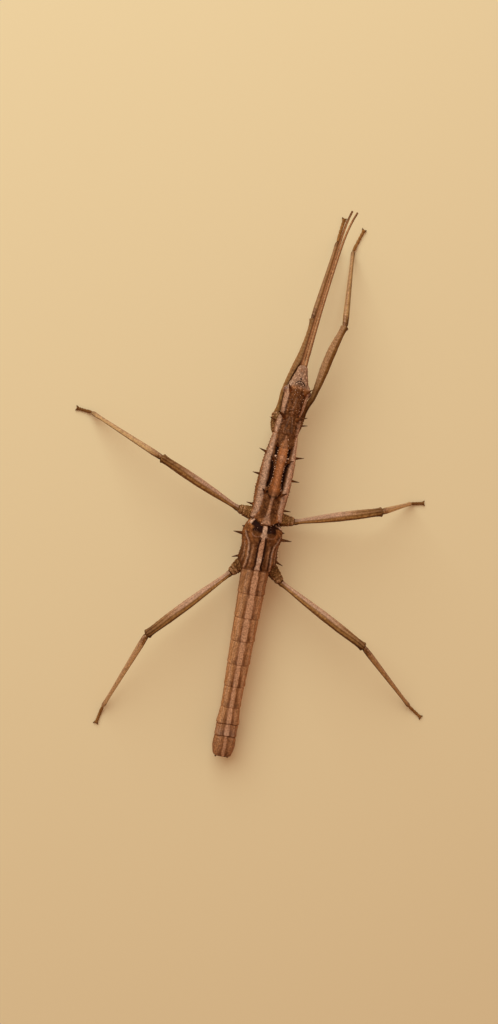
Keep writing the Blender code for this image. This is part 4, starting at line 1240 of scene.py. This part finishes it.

# %% [markdown]
# The paint of a limb follows its form. The side that faces forward is pale, the other is brown
# with a dark edge, dark streaks run along it, and the knee and the ankle are dark. A few amounts
# are set leg by leg, and some of them are painted shade: beside the head on the fore thighs, and on the hind
# right shank.

# %% Marks of the thighs
def fore_thigh_marks(left, share, forward, streaks, cells):
    """Rows of small cells on the pale side, and a broad dark side, with painted shade near the hip beside the
    head.
    """
    # on the left thigh the dark side reaches further round near the hip: painted shade beside the head
    edge = -0.2 + 0.25 * smooth(share, 0.42, 0.62) if left else 0.0
    rear = smooth(-forward, edge, edge + 0.25)
    rear *= 1.25 * smooth(share, 0.03, 0.2) if left else 1.0
    pale = (0.15 * cells + (0.0 if left else 0.16)) * (1 - rear) * smooth(share, 0.15, 0.45)
    dark = (0.6 if left else 0.42) * rear + 0.1 * streaks + 0.2 * smooth(share, 0.9, 0.97)
    dark += 0.12 * (1 - cells)
    # the right thigh is darker near the hip: a painted shadow of the head
    dark += 0.2 if left else 0.3 * (1 - smooth(share, 0.2, 0.45))
    return pale, dark, 0.1 * (1 - rear)


def thigh_marks(pair, share, front, rear, streaks, blotch):
    """A pale front that fades towards the knee, where it gets blotched."""
    fade = 1 - 0.75 * smooth(share, 0.5, 0.85)
    near_knee = smooth(share, 0.3, 0.85)
    pale = 0.85 * front * fade - 0.15 * streaks
    dark = 0.28 * rear + 0.45 * streaks * (1 - 0.65 * front * fade)
    dark += 0.25 * smooth(share, 0.8, 0.97)
    dark += 0.25 * front * blotch * smooth(share, 0.4, 0.8) + 0.3 * (1 - smooth(share, 0.02, 0.08))
    dark += 0.2 * front * smooth(share, 0.6, 0.85) + 0.08 * (1 - front)
    dark += (0.2 if pair == "hind" else 0.05) * (1 - front) * near_knee
    return pale, dark, 0.1 * (1 - front)


print("marks of the thighs:", fore_thigh_marks.__name__, thigh_marks.__name__)

# %% [markdown]
# Shanks are tan with one light line, and how tan they are differs from leg to leg; the hind right
# shank is less tan as painted shade. Hip pieces are grains on a dark ground. The last function here
# picks the right marks for a limb.

# %% Marks of shanks and hip pieces
SHANK_TAN_WITH_PAINTED_SHADE = {
    ("fore", "L"): 0.0,
    ("mid", "L"): 0.9,
    ("hind", "L"): 0.95,
    ("fore", "R"): 0.45,
    ("mid", "R"): 1.0,
    # less tan on the hind right shank: painted shade on the side away from the light
    ("hind", "R"): 0.4,
}
SHANK_DARK = {("fore", "L"): 0.2, ("mid", "R"): -0.12, ("hind", "L"): -0.12}  # 0 for the others


def shank_marks(pair, mark, share, light_line, forward, rear, streaks, blotch, grains):
    """A light line along a tan shank, with grains at the knee and a dark ankle."""
    near_knee = 1 - smooth(share, 0.05, 0.18)
    if pair == "fore":
        rear = smooth(-forward, 0.0, 0.4)
    pale = 0.45 * light_line + 0.35 * near_knee * grains
    dark = 0.4 * rear + 0.15 * streaks + 0.35 * smooth(share, 0.9, 0.98)
    dark += 0.35 * smooth(np.abs(forward), 0.8, 0.97) * (pair != "fore")
    dark += 0.35 * near_knee * (1 - grains) + 0.12 * blotch + SHANK_DARK.get((pair, mark), 0.0)
    return pale, dark, SHANK_TAN_WITH_PAINTED_SHADE[pair, mark] * (1 - 0.6 * light_line) * (1 - near_knee)


def hip_marks(pair, share, rear, grains):
    """Pale grains over dark, with two paler rims."""
    rims = between(share, 0.62, 0.70, 0.02) + between(share, 0.76, 0.9, 0.02)
    deep = 0.68 if pair == "hind" else 0.48
    pale = 0.3 * rims * (0.4 + 0.6 * grains) + 0.14 * grains
    dark = deep * (1 - 0.6 * grains) * (1 - 0.6 * rims)
    dark += 0.3 * between(share, 0.92, 1.1, 0.01) + 0.25 * rear + 0.05
    return pale, dark, 0 * share


def limb_marks(kind, pair, mark, y, share, angle, grains):
    """The four marks of a limb, from where its points lie on it."""
    turned_round = pair == "fore" or mark == "R"
    forward = np.sin(angle) * (-1 if turned_round else 1)
    front = smooth(forward, -0.3, 0.35)
    rear = smooth(-forward, 0.5, 0.9)
    streaks = (0.5 + 0.5 * np.cos(angle * 9 + 0.8 * np.sin(y * 0.4))) ** 2
    blotch = smooth(np.sin(y * 0.83 + 1.7 * np.sin(y * 0.31)) * np.sin(y * 0.47 + 1.0), 0.0, 0.9)
    if kind == "thigh" and pair == "fore":
        cells = smooth(np.abs(np.sin(math.pi * y / 1.35)), 0.1, 0.45)
        amounts = fore_thigh_marks(mark == "L", share, forward, streaks, cells)
    elif kind == "thigh":
        amounts = thigh_marks(pair, share, front, rear, streaks, blotch)
    elif kind == "shank":
        light_line = ridge_at(angle, -0.6 if turned_round else 0.6, 0.35)
        amounts = shank_marks(pair, mark, share, light_line, forward, rear, streaks, blotch, grains)
    else:
        amounts = hip_marks(pair, share, rear, grains)
    return np.clip(np.column_stack([*amounts, 0 * y]), 0, 1)


print("tan of the shanks:", SHANK_TAN_WITH_PAINTED_SHADE)

# %% [markdown]
# Laying a limb takes the straight rod, gives each row its radius and each point its relief, and
# turns the whole from its first joint to its second. A fore thigh also bends round the head, as
# it does on the real animal, whose fore thighs are thin and curved near the body.

# %% Lay a limb
NAME_SHIFT = 37.0  # sets the grain of limbs with names of different length apart
HIP_END_SHARE = 0.22  # the part of a fore thigh that its last small arc takes


def unit_limb(name, rows, sides, levels):
    """A straight rod of length 1 and radius 1."""
    table = [(share, 1.0, 1.0, 0.0) for share in np.linspace(0, 1, rows)]
    return apply_subdivision(rod(name, table, sides), levels)


def lay_limb(model, kind, pair, mark, start, end, profile, bend=None):
    """A copy of the rod laid from start to end. The profile is (mm from start, radius)."""
    name = f"{kind}_{pair}_{mark}"
    piece = copied(model, name)
    raw = points_of(piece)
    share = np.clip(raw[:, 1], 0, 1)
    angle = np.arctan2(raw[:, 0], raw[:, 2])
    inside = np.clip(np.hypot(raw[:, 0], raw[:, 2]) / 0.97, 0, 1)
    table = np.array(profile)
    y = table[0, 0] + (table[-1, 0] - table[0, 0]) * share
    radius = np.interp(y, table[:, 0], table[:, 1])
    straight = np.column_stack([np.sin(angle) * radius, y, np.cos(angle) * radius])
    own_place = straight + NAME_SHIFT * len(name)
    grains = beads(own_place, 0.55)
    station = np.clip(y / table[-1, 0], 0, 1)
    relief = RELIEFS[kind](y, station, angle, grains)
    size = radius * inside + relief * smooth(inside, 0.3, 0.95)
    local = np.column_stack([np.sin(angle) * size, y, np.cos(angle) * size])
    way = (end - start) / np.linalg.norm(end - start)
    points = local @ aimed(way).T + start
    if bend is not None:
        inward, (arc, wave, start_arc) = bend
        offset = arc * np.sin(math.pi * share**1.3) - wave * np.sin(math.tau * share)
        offset += start_arc * np.sin(math.pi * np.clip(share / HIP_END_SHARE, 0, 1))
        points += inward * offset[:, None]
    marks = limb_marks(kind, pair, mark, y, station, angle, grains)
    tone = PLAIN_TONE + (grains - 0.55) * (0.7 if kind == "hip" else 0.3)
    dress(piece, points * MM, own_place, marks, tone)
    return piece


print("the longest shank is", max(sizes[1] for sizes in LEG_SIZES.values()), "mm")

# %% [markdown]
# A profile says how thick a limb is along its length. A thigh starts with a ball in the hip
# piece and swells before the knee. A shank is thickest below the knee and flares at the ankle.

# %% Profiles of the limbs
def thigh_profile(length, radii):
    """Rows of distance from the hip and radius."""
    base, middle, end = radii
    ball = base * 1.15
    table = [(-0.9 * ball, 0.4 * ball), (-0.6 * ball, 0.75 * ball), (-0.2 * ball, ball)]
    table += [(0.45 * ball, ball), (1.1 * ball, base * 0.98), (length * 0.12, base * 1.05)]
    fullness = 0.92 if base < 1.05 else 1.08  # fore thighs are slim near the hip
    table += [(length * 0.3, (base + middle) / 2 * fullness), (length * 0.52, middle * 1.04)]
    table += [(length * 0.74, middle * 1.02), (length * 0.92, end), (length - 0.6 * end, end * 1.06)]
    table += [(length - 0.05 * end, end), (length + 0.25 * end, end * 0.8), (length + 0.45 * end, end * 0.4)]
    return table


def shank_profile(length, radii, knee_radius):
    """Rows of distance from the knee and radius."""
    top, bottom = radii
    table = [(0.0, top * 0.5), (knee_radius * 0.5, top * 0.9), (length * 0.08, top * 0.95)]
    table += [(length * 0.14, top), (length * 0.5, (top + bottom) / 2 * 0.95)]
    table += [(length * 0.85, bottom * 0.92), (length * 0.96, bottom * 1.12)]
    table += [(length - 0.1, bottom * 0.95), (length + 0.05, bottom * 0.6)]
    return table


def hip_profile(length, radii):
    """Rows of distance from the root and radius."""
    thick, thin = radii
    table = [(-1.2 * thick, thick * 0.15), (-0.8 * thick, thick * 0.55), (-0.3 * thick, thick * 0.8)]
    table += [(length * 0.35, thick), (length * 0.6, (thick + thin) / 2)]
    table += [(length * 0.82, thin), (length * 0.92, thin * 0.9), (length, thin * 0.68)]
    return table


def build_limbs(pair, mark, model, material):
    """Hip piece, thigh and shank of one leg."""
    root, hip, knee, ankle, _ = LEGS[pair, mark]
    thigh, shank, _, thigh_radii, shank_radii, hip_radii = LEG_SIZES[pair]
    way = (knee - hip) / np.linalg.norm(knee - hip)
    inward = np.cross((0, 0, 1), way) * side_of(mark)
    bend = (inward, FORE_BENDS[mark]) if pair == "fore" else None
    if pair == "fore":
        hip_radii = [radius * FORE_HIP_SIZES[mark] for radius in hip_radii]
    reach = np.linalg.norm(hip - root)
    parts = (
        ("hip", "coxa", root, hip, hip_profile(reach, hip_radii), None),
        ("thigh", "femur", hip, knee, thigh_profile(thigh, thigh_radii), bend),
        ("shank", "tibia", knee, ankle, shank_profile(shank, shank_radii, thigh_radii[2]), None),
    )
    for kind, node_name, start, end, profile, curve in parts:
        piece = lay_limb(model, kind, pair, mark, start, end, profile, curve)
        finish_piece(piece, material, "cuticle_leg", f"{node_name}_{pair}_{mark}")


for leg_pair, sizes in LEG_SIZES.items():
    widest = max(radius for _, radius in thigh_profile(sizes[0], sizes[3]))
    print(leg_pair, "thigh:", sizes[0], "mm long and", round(2 * widest, 1), "mm thick")

# %% [markdown]
# ## Feet
#
# The five joints of a foot slope down from the ankle and then lie on the floor. Each swells at its
# far end over a soft pad. Two hooked claws, made from the spine, end the foot. The foot is laid by
# its height over the floor and not by an angle, so that every sole lies flat on it.

# %% Feet
FOOT_RADIUS = 0.78
FOOT_JOINTS = (0.36, 0.54, 0.70, 0.84, 1.0)  # where each joint ends, as a share of the foot
FOOT_SLOPE = 0.4  # the share of the foot that slopes down
FOOT_DARK = {"fore": 0.0, "mid": 0.42, "hind": 0.2}
CLAW_LENGTH, CLAW_RADIUS, CLAW_CURL = 1.105, 0.5, -1.5
CLAW_SPREAD = math.radians(48)
SOLE_GAP, CLAW_GAP = 0.03, 0.02  # how far soles and claws stay above the floor


def foot_height(share):
    """Height of the middle of the foot over the floor."""
    slope = ANKLE_HEIGHT + (FOOT_HEIGHT - ANKLE_HEIGHT) * share / FOOT_SLOPE
    return np.maximum(FOOT_HEIGHT, slope)


def build_foot(pair, mark, spine, material):
    """A foot of five joints with its two claws."""
    ankle, toe = LEGS[pair, mark][3:]
    rows = [(0.0, 0.5, 0.5, 0.0)]
    begin = 0.0
    for end in FOOT_JOINTS:
        widest = 1.2 if end == 1.0 else 0.97
        swells = ((begin + 0.015, 0.65), (begin + 0.04, 0.78), (end - 0.04, widest), (end, 0.65))
        rows += [(share, swell, swell, 0.0) for share, swell in swells]
        begin = end
    rows[-1] = (1.0, 0.4, 0.4, 0.0)
    piece = apply_subdivision(rod(f"foot_{pair}_{mark}", rows, 8), 1)
    local = points_of(piece)
    share = np.clip(local[:, 1], 0, 1)
    flat = np.array([toe[0] - ankle[0], toe[1] - ankle[1], 0.0])
    reach = np.linalg.norm(toe - ankle)
    way = flat / np.linalg.norm(flat)
    across = np.cross(way, (0, 0, 1))
    points = np.array([ankle[0], ankle[1], 0]) + way * (reach * share)[:, None]
    points += across * local[:, :1] * FOOT_RADIUS
    points[:, 2] = foot_height(share) + local[:, 2] * FOOT_RADIUS
    points[:, 2] = np.maximum(points[:, 2], SOLE_GAP)
    pad = smooth(-local[:, 2], 0.3, 0.8)
    marks = np.column_stack([0.3 * pad, FOOT_DARK[pair] + 0 * pad, 0.2 + 0 * pad, 0 * pad])
    dress(piece, points * MM, points, marks)
    copies = [piece]
    for side in (1, -1):
        turn = np.array(Matrix.Rotation(side * CLAW_SPREAD, 3, "Z"))
        foot = toe - way * 0.35 - across * (side * 0.25)
        sizes = (CLAW_LENGTH, CLAW_RADIUS, lambda p: p * MM, CLAW_CURL)
        copies.append(placed_spine(spine, foot, turn @ way, *sizes))
    whole = joined(copies, f"foot_{pair}_{mark}")
    settled = points_of(whole)
    settled[:, 2] = np.maximum(settled[:, 2], CLAW_GAP * MM)
    move_points(whole, settled)
    return finish_piece(whole, material, "foot", f"tarsus_{pair}_{mark}")


print("the middle of a foot goes from", foot_height(0.0), "mm down to", foot_height(1.0), "mm")

# %% [markdown]
# Two short dark threads end the tail. They are rods like all the rest, turned to point backwards.

# %% Threads of the tail
THREAD_FOOT, THREAD_WAY = (2.2, TAIL - 0.1, -0.3), (0.16, -1.0, 0.08)  # of the right one


def build_cercus(mark, material):
    """One of the two short threads at the end of the tail."""
    mirrored = (side_of(mark), 1, 1)
    rows = [(-0.5, 0.45, 0.45, 0.0), (0.0, 0.5, 0.5, 0.0), (0.6, 0.47, 0.47, 0.0)]
    rows += [(1.0, 0.36, 0.36, 0.0), (1.2, 0.16, 0.16, 0.0)]
    piece = apply_subdivision(rod(f"tail_thread_{mark}", rows, 8), 1)
    way = np.array(THREAD_WAY) * mirrored
    points = points_of(piece) @ aimed(way).T + np.array(THREAD_FOOT) * mirrored
    dress(piece, in_frame(points), points, (0.05, 0.85, 0.1, 0))
    return finish_piece(piece, material, "foot", f"cercus_{mark}")


print("the threads start at y", round(THREAD_FOOT[1], 1), "mm")

# %% [markdown]
# ## Materials
#
# All the cuticle shares one way of painting. A base brown is mottled by noise. The painted marks
# are then laid over it, each with its edge broken up by the noise, so that nothing looks printed.
# Nodes stay sharp from any distance, and need no unwrapping as a painted texture would.
# Each material then has its own colours. The helpers below add a node and feed its sockets, and
# save the many lines that Blender takes for it.

# %% Helpers for nodes
def colour(red, green, blue):
    """A colour from 0 to 255 as the linear values that a shader takes."""
    shares = [value / 255 for value in (red, green, blue)]
    dark_end = 11 / 255  # below it the curve of a screen is a straight line
    linear = [v / 12.92 if v < dark_end else ((v + 0.055) / 1.055) ** 2.4 for v in shares]
    return (*linear, 1.0)


def feed(tree, socket, value):
    """Links a socket to another one, or sets its own value."""
    if isinstance(value, bpy.types.NodeSocket):
        tree.links.new(value, socket)
    else:
        socket.default_value = value


def add_node(tree, kind, inputs=None, **settings):
    """A node with its settings and inputs."""
    made = tree.nodes.new(kind)
    for name, value in settings.items():
        setattr(made, name, value)
    for name, value in (inputs or {}).items():
        feed(tree, made.inputs[name], value)
    return made


def calc(tree, operation, *values, clamp=False):
    """The result of a Math node."""
    made = add_node(tree, "ShaderNodeMath", dict(enumerate(values)), operation=operation)
    made.use_clamp = clamp
    return made.outputs[0]


def blend(tree, factor, under, over, kind="MIX"):
    """Colours mixed by a factor. Sockets 6 and 7 are the two colours of the node."""
    made = add_node(tree, "ShaderNodeMix", data_type="RGBA", blend_type=kind)
    for index, value in ((0, factor), (6, under), (7, over)):
        feed(tree, made.inputs[index], value)
    return made.outputs[2]


def mapped(tree, value, source=(0.0, 1.0), target=(0.0, 1.0)):
    """A value taken from one range to another, and held inside it."""
    ends = {"From Min": source[0], "From Max": source[1], "To Min": target[0], "To Max": target[1]}
    return add_node(tree, "ShaderNodeMapRange", {"Value": value, **ends}).outputs["Result"]


def painted(tree, name):
    """The outputs of a value that a mesh keeps at its points."""
    return add_node(tree, "ShaderNodeAttribute", attribute_name=name).outputs


def new_material(name):
    """A material with its node tree and its shader."""
    material = bpy.data.materials.new(name)
    material.use_nodes = True
    return material, material.node_tree, material.node_tree.nodes["Principled BSDF"]


print("middle grey in a shader:", round(colour(128, 128, 128)[0], 3))

# %% [markdown]
# An effect that several materials use is a node group, built once. The first holds three noises,
# from soft to fine, and a height for the finest grains. The second breaks up the edge of a mark.

# %% Two node groups
def new_group(name, inputs, outputs):
    """An empty node group with its sockets."""
    tree = bpy.data.node_groups.new(name, "ShaderNodeTree")
    for label, kind in inputs:
        tree.interface.new_socket(label, in_out="INPUT", socket_type=f"NodeSocket{kind}")
    for label, kind in outputs:
        tree.interface.new_socket(label, in_out="OUTPUT", socket_type=f"NodeSocket{kind}")
    return tree, tree.nodes.new("NodeGroupInput"), tree.nodes.new("NodeGroupOutput")


def group_node(tree, group, inputs):
    """The outputs of a group placed in a tree."""
    made = tree.nodes.new("ShaderNodeGroup")
    made.node_tree = group
    for name, value in inputs.items():
        feed(tree, made.inputs[name], value)
    return made.outputs


def make_grain_group():
    """Soft, middling and fine noise, and a height for the finest grains."""
    labels = [("Soft", "Float"), ("Middling", "Float"), ("Fine", "Float"), ("Grain", "Float")]
    tree, start, end = new_group("grain", [("Place", "Vector")], labels)
    place = start.outputs["Place"]
    for label, scale, detail in (("Soft", 0.22, 3.0), ("Middling", 0.9, 3.0), ("Fine", 2.1, 2.5)):
        inputs = {"Vector": place, "Scale": scale, "Detail": detail, "Roughness": 0.6}
        noise_node = add_node(tree, "ShaderNodeTexNoise", inputs)
        tree.links.new(noise_node.outputs["Fac"], end.inputs[label])
    cells = add_node(tree, "ShaderNodeTexVoronoi", {"Vector": place, "Scale": 3.0})
    dome = calc(tree, "SUBTRACT", 1.0, cells.outputs["Distance"], clamp=True)
    tree.links.new(dome, end.inputs["Grain"])
    return tree


def make_mark_group():
    """A mark whose half-way shades are broken up by noise, while full and bare parts stay."""
    inputs = [("Amount", "Float"), ("Noise", "Float"), ("Break", "Float")]
    tree, start, end = new_group("broken mark", inputs, [("Mask", "Float")])
    amount = start.outputs["Amount"]
    bare = calc(tree, "SUBTRACT", 1.0, amount)
    edge = calc(tree, "MULTIPLY", calc(tree, "MULTIPLY", amount, bare, clamp=True), 4.0)
    centred = calc(tree, "SUBTRACT", start.outputs["Noise"], 0.5)
    swing = calc(tree, "MULTIPLY", centred, start.outputs["Break"])
    total = calc(tree, "MULTIPLY_ADD", edge, swing, amount, clamp=True)
    tree.links.new(total, end.inputs["Mask"])
    return tree


GRAIN = make_grain_group()
BROKEN = make_mark_group()
for group in (GRAIN, BROKEN):
    print("group", group.name, "has", len(group.nodes), "nodes")

# %% [markdown]
# The cuticle material takes six colours: two browns for the ground, then pale, dark and warm
# marks, and a tan that only the abdomen uses. The bump only adds the last, finest roughness. The
# real relief is in the meshes.

# %% Cuticle
TAN_STRENGTH = 0.75
CUTICLE_ROUGHNESS, CUTICLE_BUMP, CUTICLE_SPECULAR = 0.6, 0.25, 0.06


def make_cuticle(name, ground, ground_other, pale, dark, warm, tan=None):
    """A mottled ground under the marks, darkened and lightened grain by grain."""
    material, tree, shader = new_material(name)
    marks = painted(tree, "marks")
    split = add_node(tree, "ShaderNodeSeparateColor", {"Color": marks["Color"]})
    grain = group_node(tree, GRAIN, {"Place": painted(tree, "place_mm")["Vector"]})
    result = blend(tree, mapped(tree, grain["Middling"], (0.36, 0.64)), ground, ground_other)
    if tan:
        result = blend(tree, calc(tree, "MULTIPLY", marks["Alpha"], TAN_STRENGTH), result, tan)
    for index, over, noise_name, amount in (
        (2, warm, "Middling", 0.8),
        (0, pale, "Fine", 0.6),
        (1, dark, "Fine", 1.2),
    ):
        inputs = {"Amount": split.outputs[index], "Noise": grain[noise_name], "Break": amount}
        result = blend(tree, group_node(tree, BROKEN, inputs)["Mask"], result, over)
    # the tone holds the grain's own lightness and, on the right swelling of the head, painted light
    grain_tone_and_painted_light = mapped(tree, painted(tree, "tone")["Fac"], target=(0.5, 1.35))
    speck = mapped(tree, grain["Fine"], (0.34, 0.66), (0.66, 1.32))
    shade = calc(tree, "MULTIPLY", grain_tone_and_painted_light, speck)
    grey = add_node(tree, "ShaderNodeCombineColor", {"Red": shade, "Green": shade, "Blue": shade}).outputs[0]
    result = blend(tree, 1.0, result, grey, "MULTIPLY")
    tree.links.new(result, shader.inputs["Base Color"])
    roughness_range = (CUTICLE_ROUGHNESS - 0.1, CUTICLE_ROUGHNESS + 0.2)
    roughness = mapped(tree, grain["Fine"], target=roughness_range)
    tree.links.new(roughness, shader.inputs["Roughness"])
    bumps = calc(tree, "ADD", grain["Grain"], grain["Fine"])
    inputs = {"Height": bumps, "Strength": CUTICLE_BUMP, "Distance": 0.12 * MM}
    surface_bump = add_node(tree, "ShaderNodeBump", inputs)
    tree.links.new(surface_bump.outputs["Normal"], shader.inputs["Normal"])
    shader.inputs["Specular IOR Level"].default_value = CUTICLE_SPECULAR
    print("material:", name)
    return material


print("a cuticle is", CUTICLE_ROUGHNESS - 0.1, "to", CUTICLE_ROUGHNESS + 0.2, "rough")

# %% [markdown]
# Four finishes come from that one function. The trunk is the reddest and has the blackest marks.
# The legs are more yellow, the feelers plainer, and the feet a little duller.

# %% Four finishes
THORAX_CUTICLE = make_cuticle(
    "cuticle of the trunk",
    ground=colour(116, 62, 27),
    ground_other=colour(170, 104, 56),
    pale=colour(206, 157, 125),
    dark=colour(40, 12, 1),
    warm=colour(180, 100, 46),
    tan=colour(196, 132, 80),
)
LEG_CUTICLE = make_cuticle(
    "cuticle of the legs",
    ground=colour(150, 94, 42),
    ground_other=colour(184, 126, 66),
    pale=colour(204, 154, 124),
    dark=colour(62, 26, 2),
    warm=colour(212, 162, 108),
)
FEELER_CUTICLE = make_cuticle(
    "cuticle of the feelers",
    ground=colour(152, 93, 48),
    ground_other=colour(174, 113, 66),
    pale=colour(206, 153, 107),
    dark=colour(78, 34, 10),
    warm=colour(158, 94, 52),
)
FOOT_CUTICLE = make_cuticle(
    "cuticle of the feet",
    ground=colour(140, 88, 40),
    ground_other=colour(166, 112, 60),
    pale=colour(190, 140, 90),
    dark=colour(70, 32, 6),
    warm=colour(130, 76, 30),
)

# %% [markdown]
# The eye is brown with paler streaks and a net of facets. The facets are far finer than a mesh
# needs to be, so a Voronoi pattern gives them to the bump. It is a little glossier than the rest.

# %% Eye
EYE_ROUGHNESS, EYE_SPECULAR = 0.4, 0.3


def make_eye_material():
    """Streaks for the colour and facets for the bump."""
    material, tree, shader = new_material("eye")
    place = painted(tree, "place_mm")["Vector"]
    facets = add_node(tree, "ShaderNodeTexVoronoi", {"Vector": place, "Scale": 9.0, "Randomness": 0.25})
    stripes = add_node(tree, "ShaderNodeTexNoise", {"Vector": place, "Scale": 1.5, "Detail": 3.0})
    share = mapped(tree, stripes.outputs["Fac"], (0.4, 0.6))
    result = blend(tree, share, colour(72, 36, 20), colour(160, 108, 80))
    tree.links.new(result, shader.inputs["Base Color"])
    dome = calc(tree, "SUBTRACT", 1.0, facets.outputs["Distance"])
    bump = add_node(tree, "ShaderNodeBump", {"Height": dome, "Strength": 0.3, "Distance": 0.05 * MM})
    tree.links.new(bump.outputs["Normal"], shader.inputs["Normal"])
    shader.inputs["Roughness"].default_value = EYE_ROUGHNESS
    shader.inputs["Specular IOR Level"].default_value = EYE_SPECULAR
    return material


EYE_MATERIAL = make_eye_material()
print("material:", EYE_MATERIAL.name)

# %% [markdown]
# ## Put the insect together
#
# Every piece rides on the one body of the frame, and stands for the solids that it replaces. The
# models that were only there to be copied are removed.

# %% Build everything
LIMB_ROWS, LIMB_SIDES, LIMB_LEVELS = 21, 8, 3
build_trunk(THORAX_CUTICLE)
build_spines(THORAX_CUTICLE)
build_beads(THORAX_CUTICLE)
build_mouth(THORAX_CUTICLE)
limb_model = unit_limb("limb model", LIMB_ROWS, LIMB_SIDES, LIMB_LEVELS)
spine_model = unit_spine()
for mark in ("L", "R"):
    build_eye(mark, EYE_MATERIAL)
    build_feeler(mark, FEELER_CUTICLE)
    build_cercus(mark, FOOT_CUTICLE)
    for pair in ("fore", "mid", "hind"):
        build_limbs(pair, mark, limb_model, LEG_CUTICLE)
        build_foot(pair, mark, spine_model, FOOT_CUTICLE)
for model in (limb_model, spine_model):
    bpy.data.objects.remove(model, do_unlink=True)
print("the insect is together, on", len(LEGS), "legs")


# %% [markdown]
# ## Floor, light and camera
#
# The insect stands on a plain pale floor.

# %% Floor
FLOOR_SIZE, FLOOR_ROUGHNESS, FLOOR_SPECULAR = 6.0, 0.9, 0.1

floor_material, _, floor_shader = new_material("pale floor")
floor_shader.inputs["Base Color"].default_value = colour(238, 206, 158)
floor_shader.inputs["Roughness"].default_value = FLOOR_ROUGHNESS
floor_shader.inputs["Specular IOR Level"].default_value = FLOOR_SPECULAR
deselect()
bpy.ops.mesh.primitive_plane_add(size=FLOOR_SIZE, location=(0, 0, 0))
floor = bpy.context.object
floor.name = "floor"
floor.data.materials.append(floor_material)
print("floor:", FLOOR_SIZE, "m wide")

# %% [markdown]
# One large soft light above the left of the head gives the soft shadows, and a faint warm light
# from all round fills them. A wide disk makes soft shadows, and a small one would make hard ones.

# %% Light
LIGHT_PLACE, LIGHT_WIDTH, LIGHT_WATTS = (-0.50, 0.72, 0.82), 1.3, 14.7
LIGHT_TINT = (0.76, 1.0, 1.07)
FILL_TINT, FILL_STRENGTH = (1.0, 0.67, 0.50, 1.0), 0.44

bpy.ops.object.light_add(type="AREA", location=LIGHT_PLACE)
key = bpy.context.object
key.name = "soft light"
key.data.shape = "DISK"
key.data.size = LIGHT_WIDTH
key.data.energy = LIGHT_WATTS
key.data.color = LIGHT_TINT
key.rotation_euler = Vector(key.location).to_track_quat("Z", "Y").to_euler()

bpy.context.scene.view_settings.view_transform = "Standard"
world = bpy.context.scene.world or bpy.data.worlds.new("world")
bpy.context.scene.world = world
world.use_nodes = True
fill = world.node_tree.nodes["Background"].inputs
fill["Color"].default_value = FILL_TINT
fill["Strength"].default_value = FILL_STRENGTH
print("soft light:", LIGHT_WATTS, "W at", round(key.location.length, 2), "m from the middle")

# %% [markdown]
# The camera looks almost straight down on the back, about 30 cm above it. Its three axes are
# worked out one by one: where it looks, what is to its right, and what is up in its frame. They make
# up the columns of its matrix, with a minus for the view, since a camera looks along its own -Z.

# %% Camera
CAMERA_PLACE = (-43.3, 3.1, 313.4)  # mm from the middle of the body
CAMERA_TILT = math.radians(7)
CAMERA_RIGHT = (0.971, 0.208, 0.119)
LENS, SENSOR_WIDTH, CLIP_START = 28.125, 36.0, 0.01

forward = Vector((math.sin(CAMERA_TILT), 0, -math.cos(CAMERA_TILT)))
right = Vector(CAMERA_RIGHT)
right = (right - forward * right.dot(forward)).normalized()
upward = right.cross(forward)
camera_data = bpy.data.cameras.new("camera")
camera_data.sensor_width = SENSOR_WIDTH
camera_data.lens = LENS
camera_data.clip_start = CLIP_START
camera = bpy.data.objects.new("camera", camera_data)
bpy.context.collection.objects.link(camera)
axes = Matrix((right, upward, -forward)).transposed().to_4x4()
place = (Vector(CAMERA_PLACE) + Vector(SHIFT)) * MM
camera.matrix_world = Matrix.Translation(place) @ axes
bpy.context.scene.camera = camera
print("camera at", [round(v / MM, 1) for v in place], "mm")
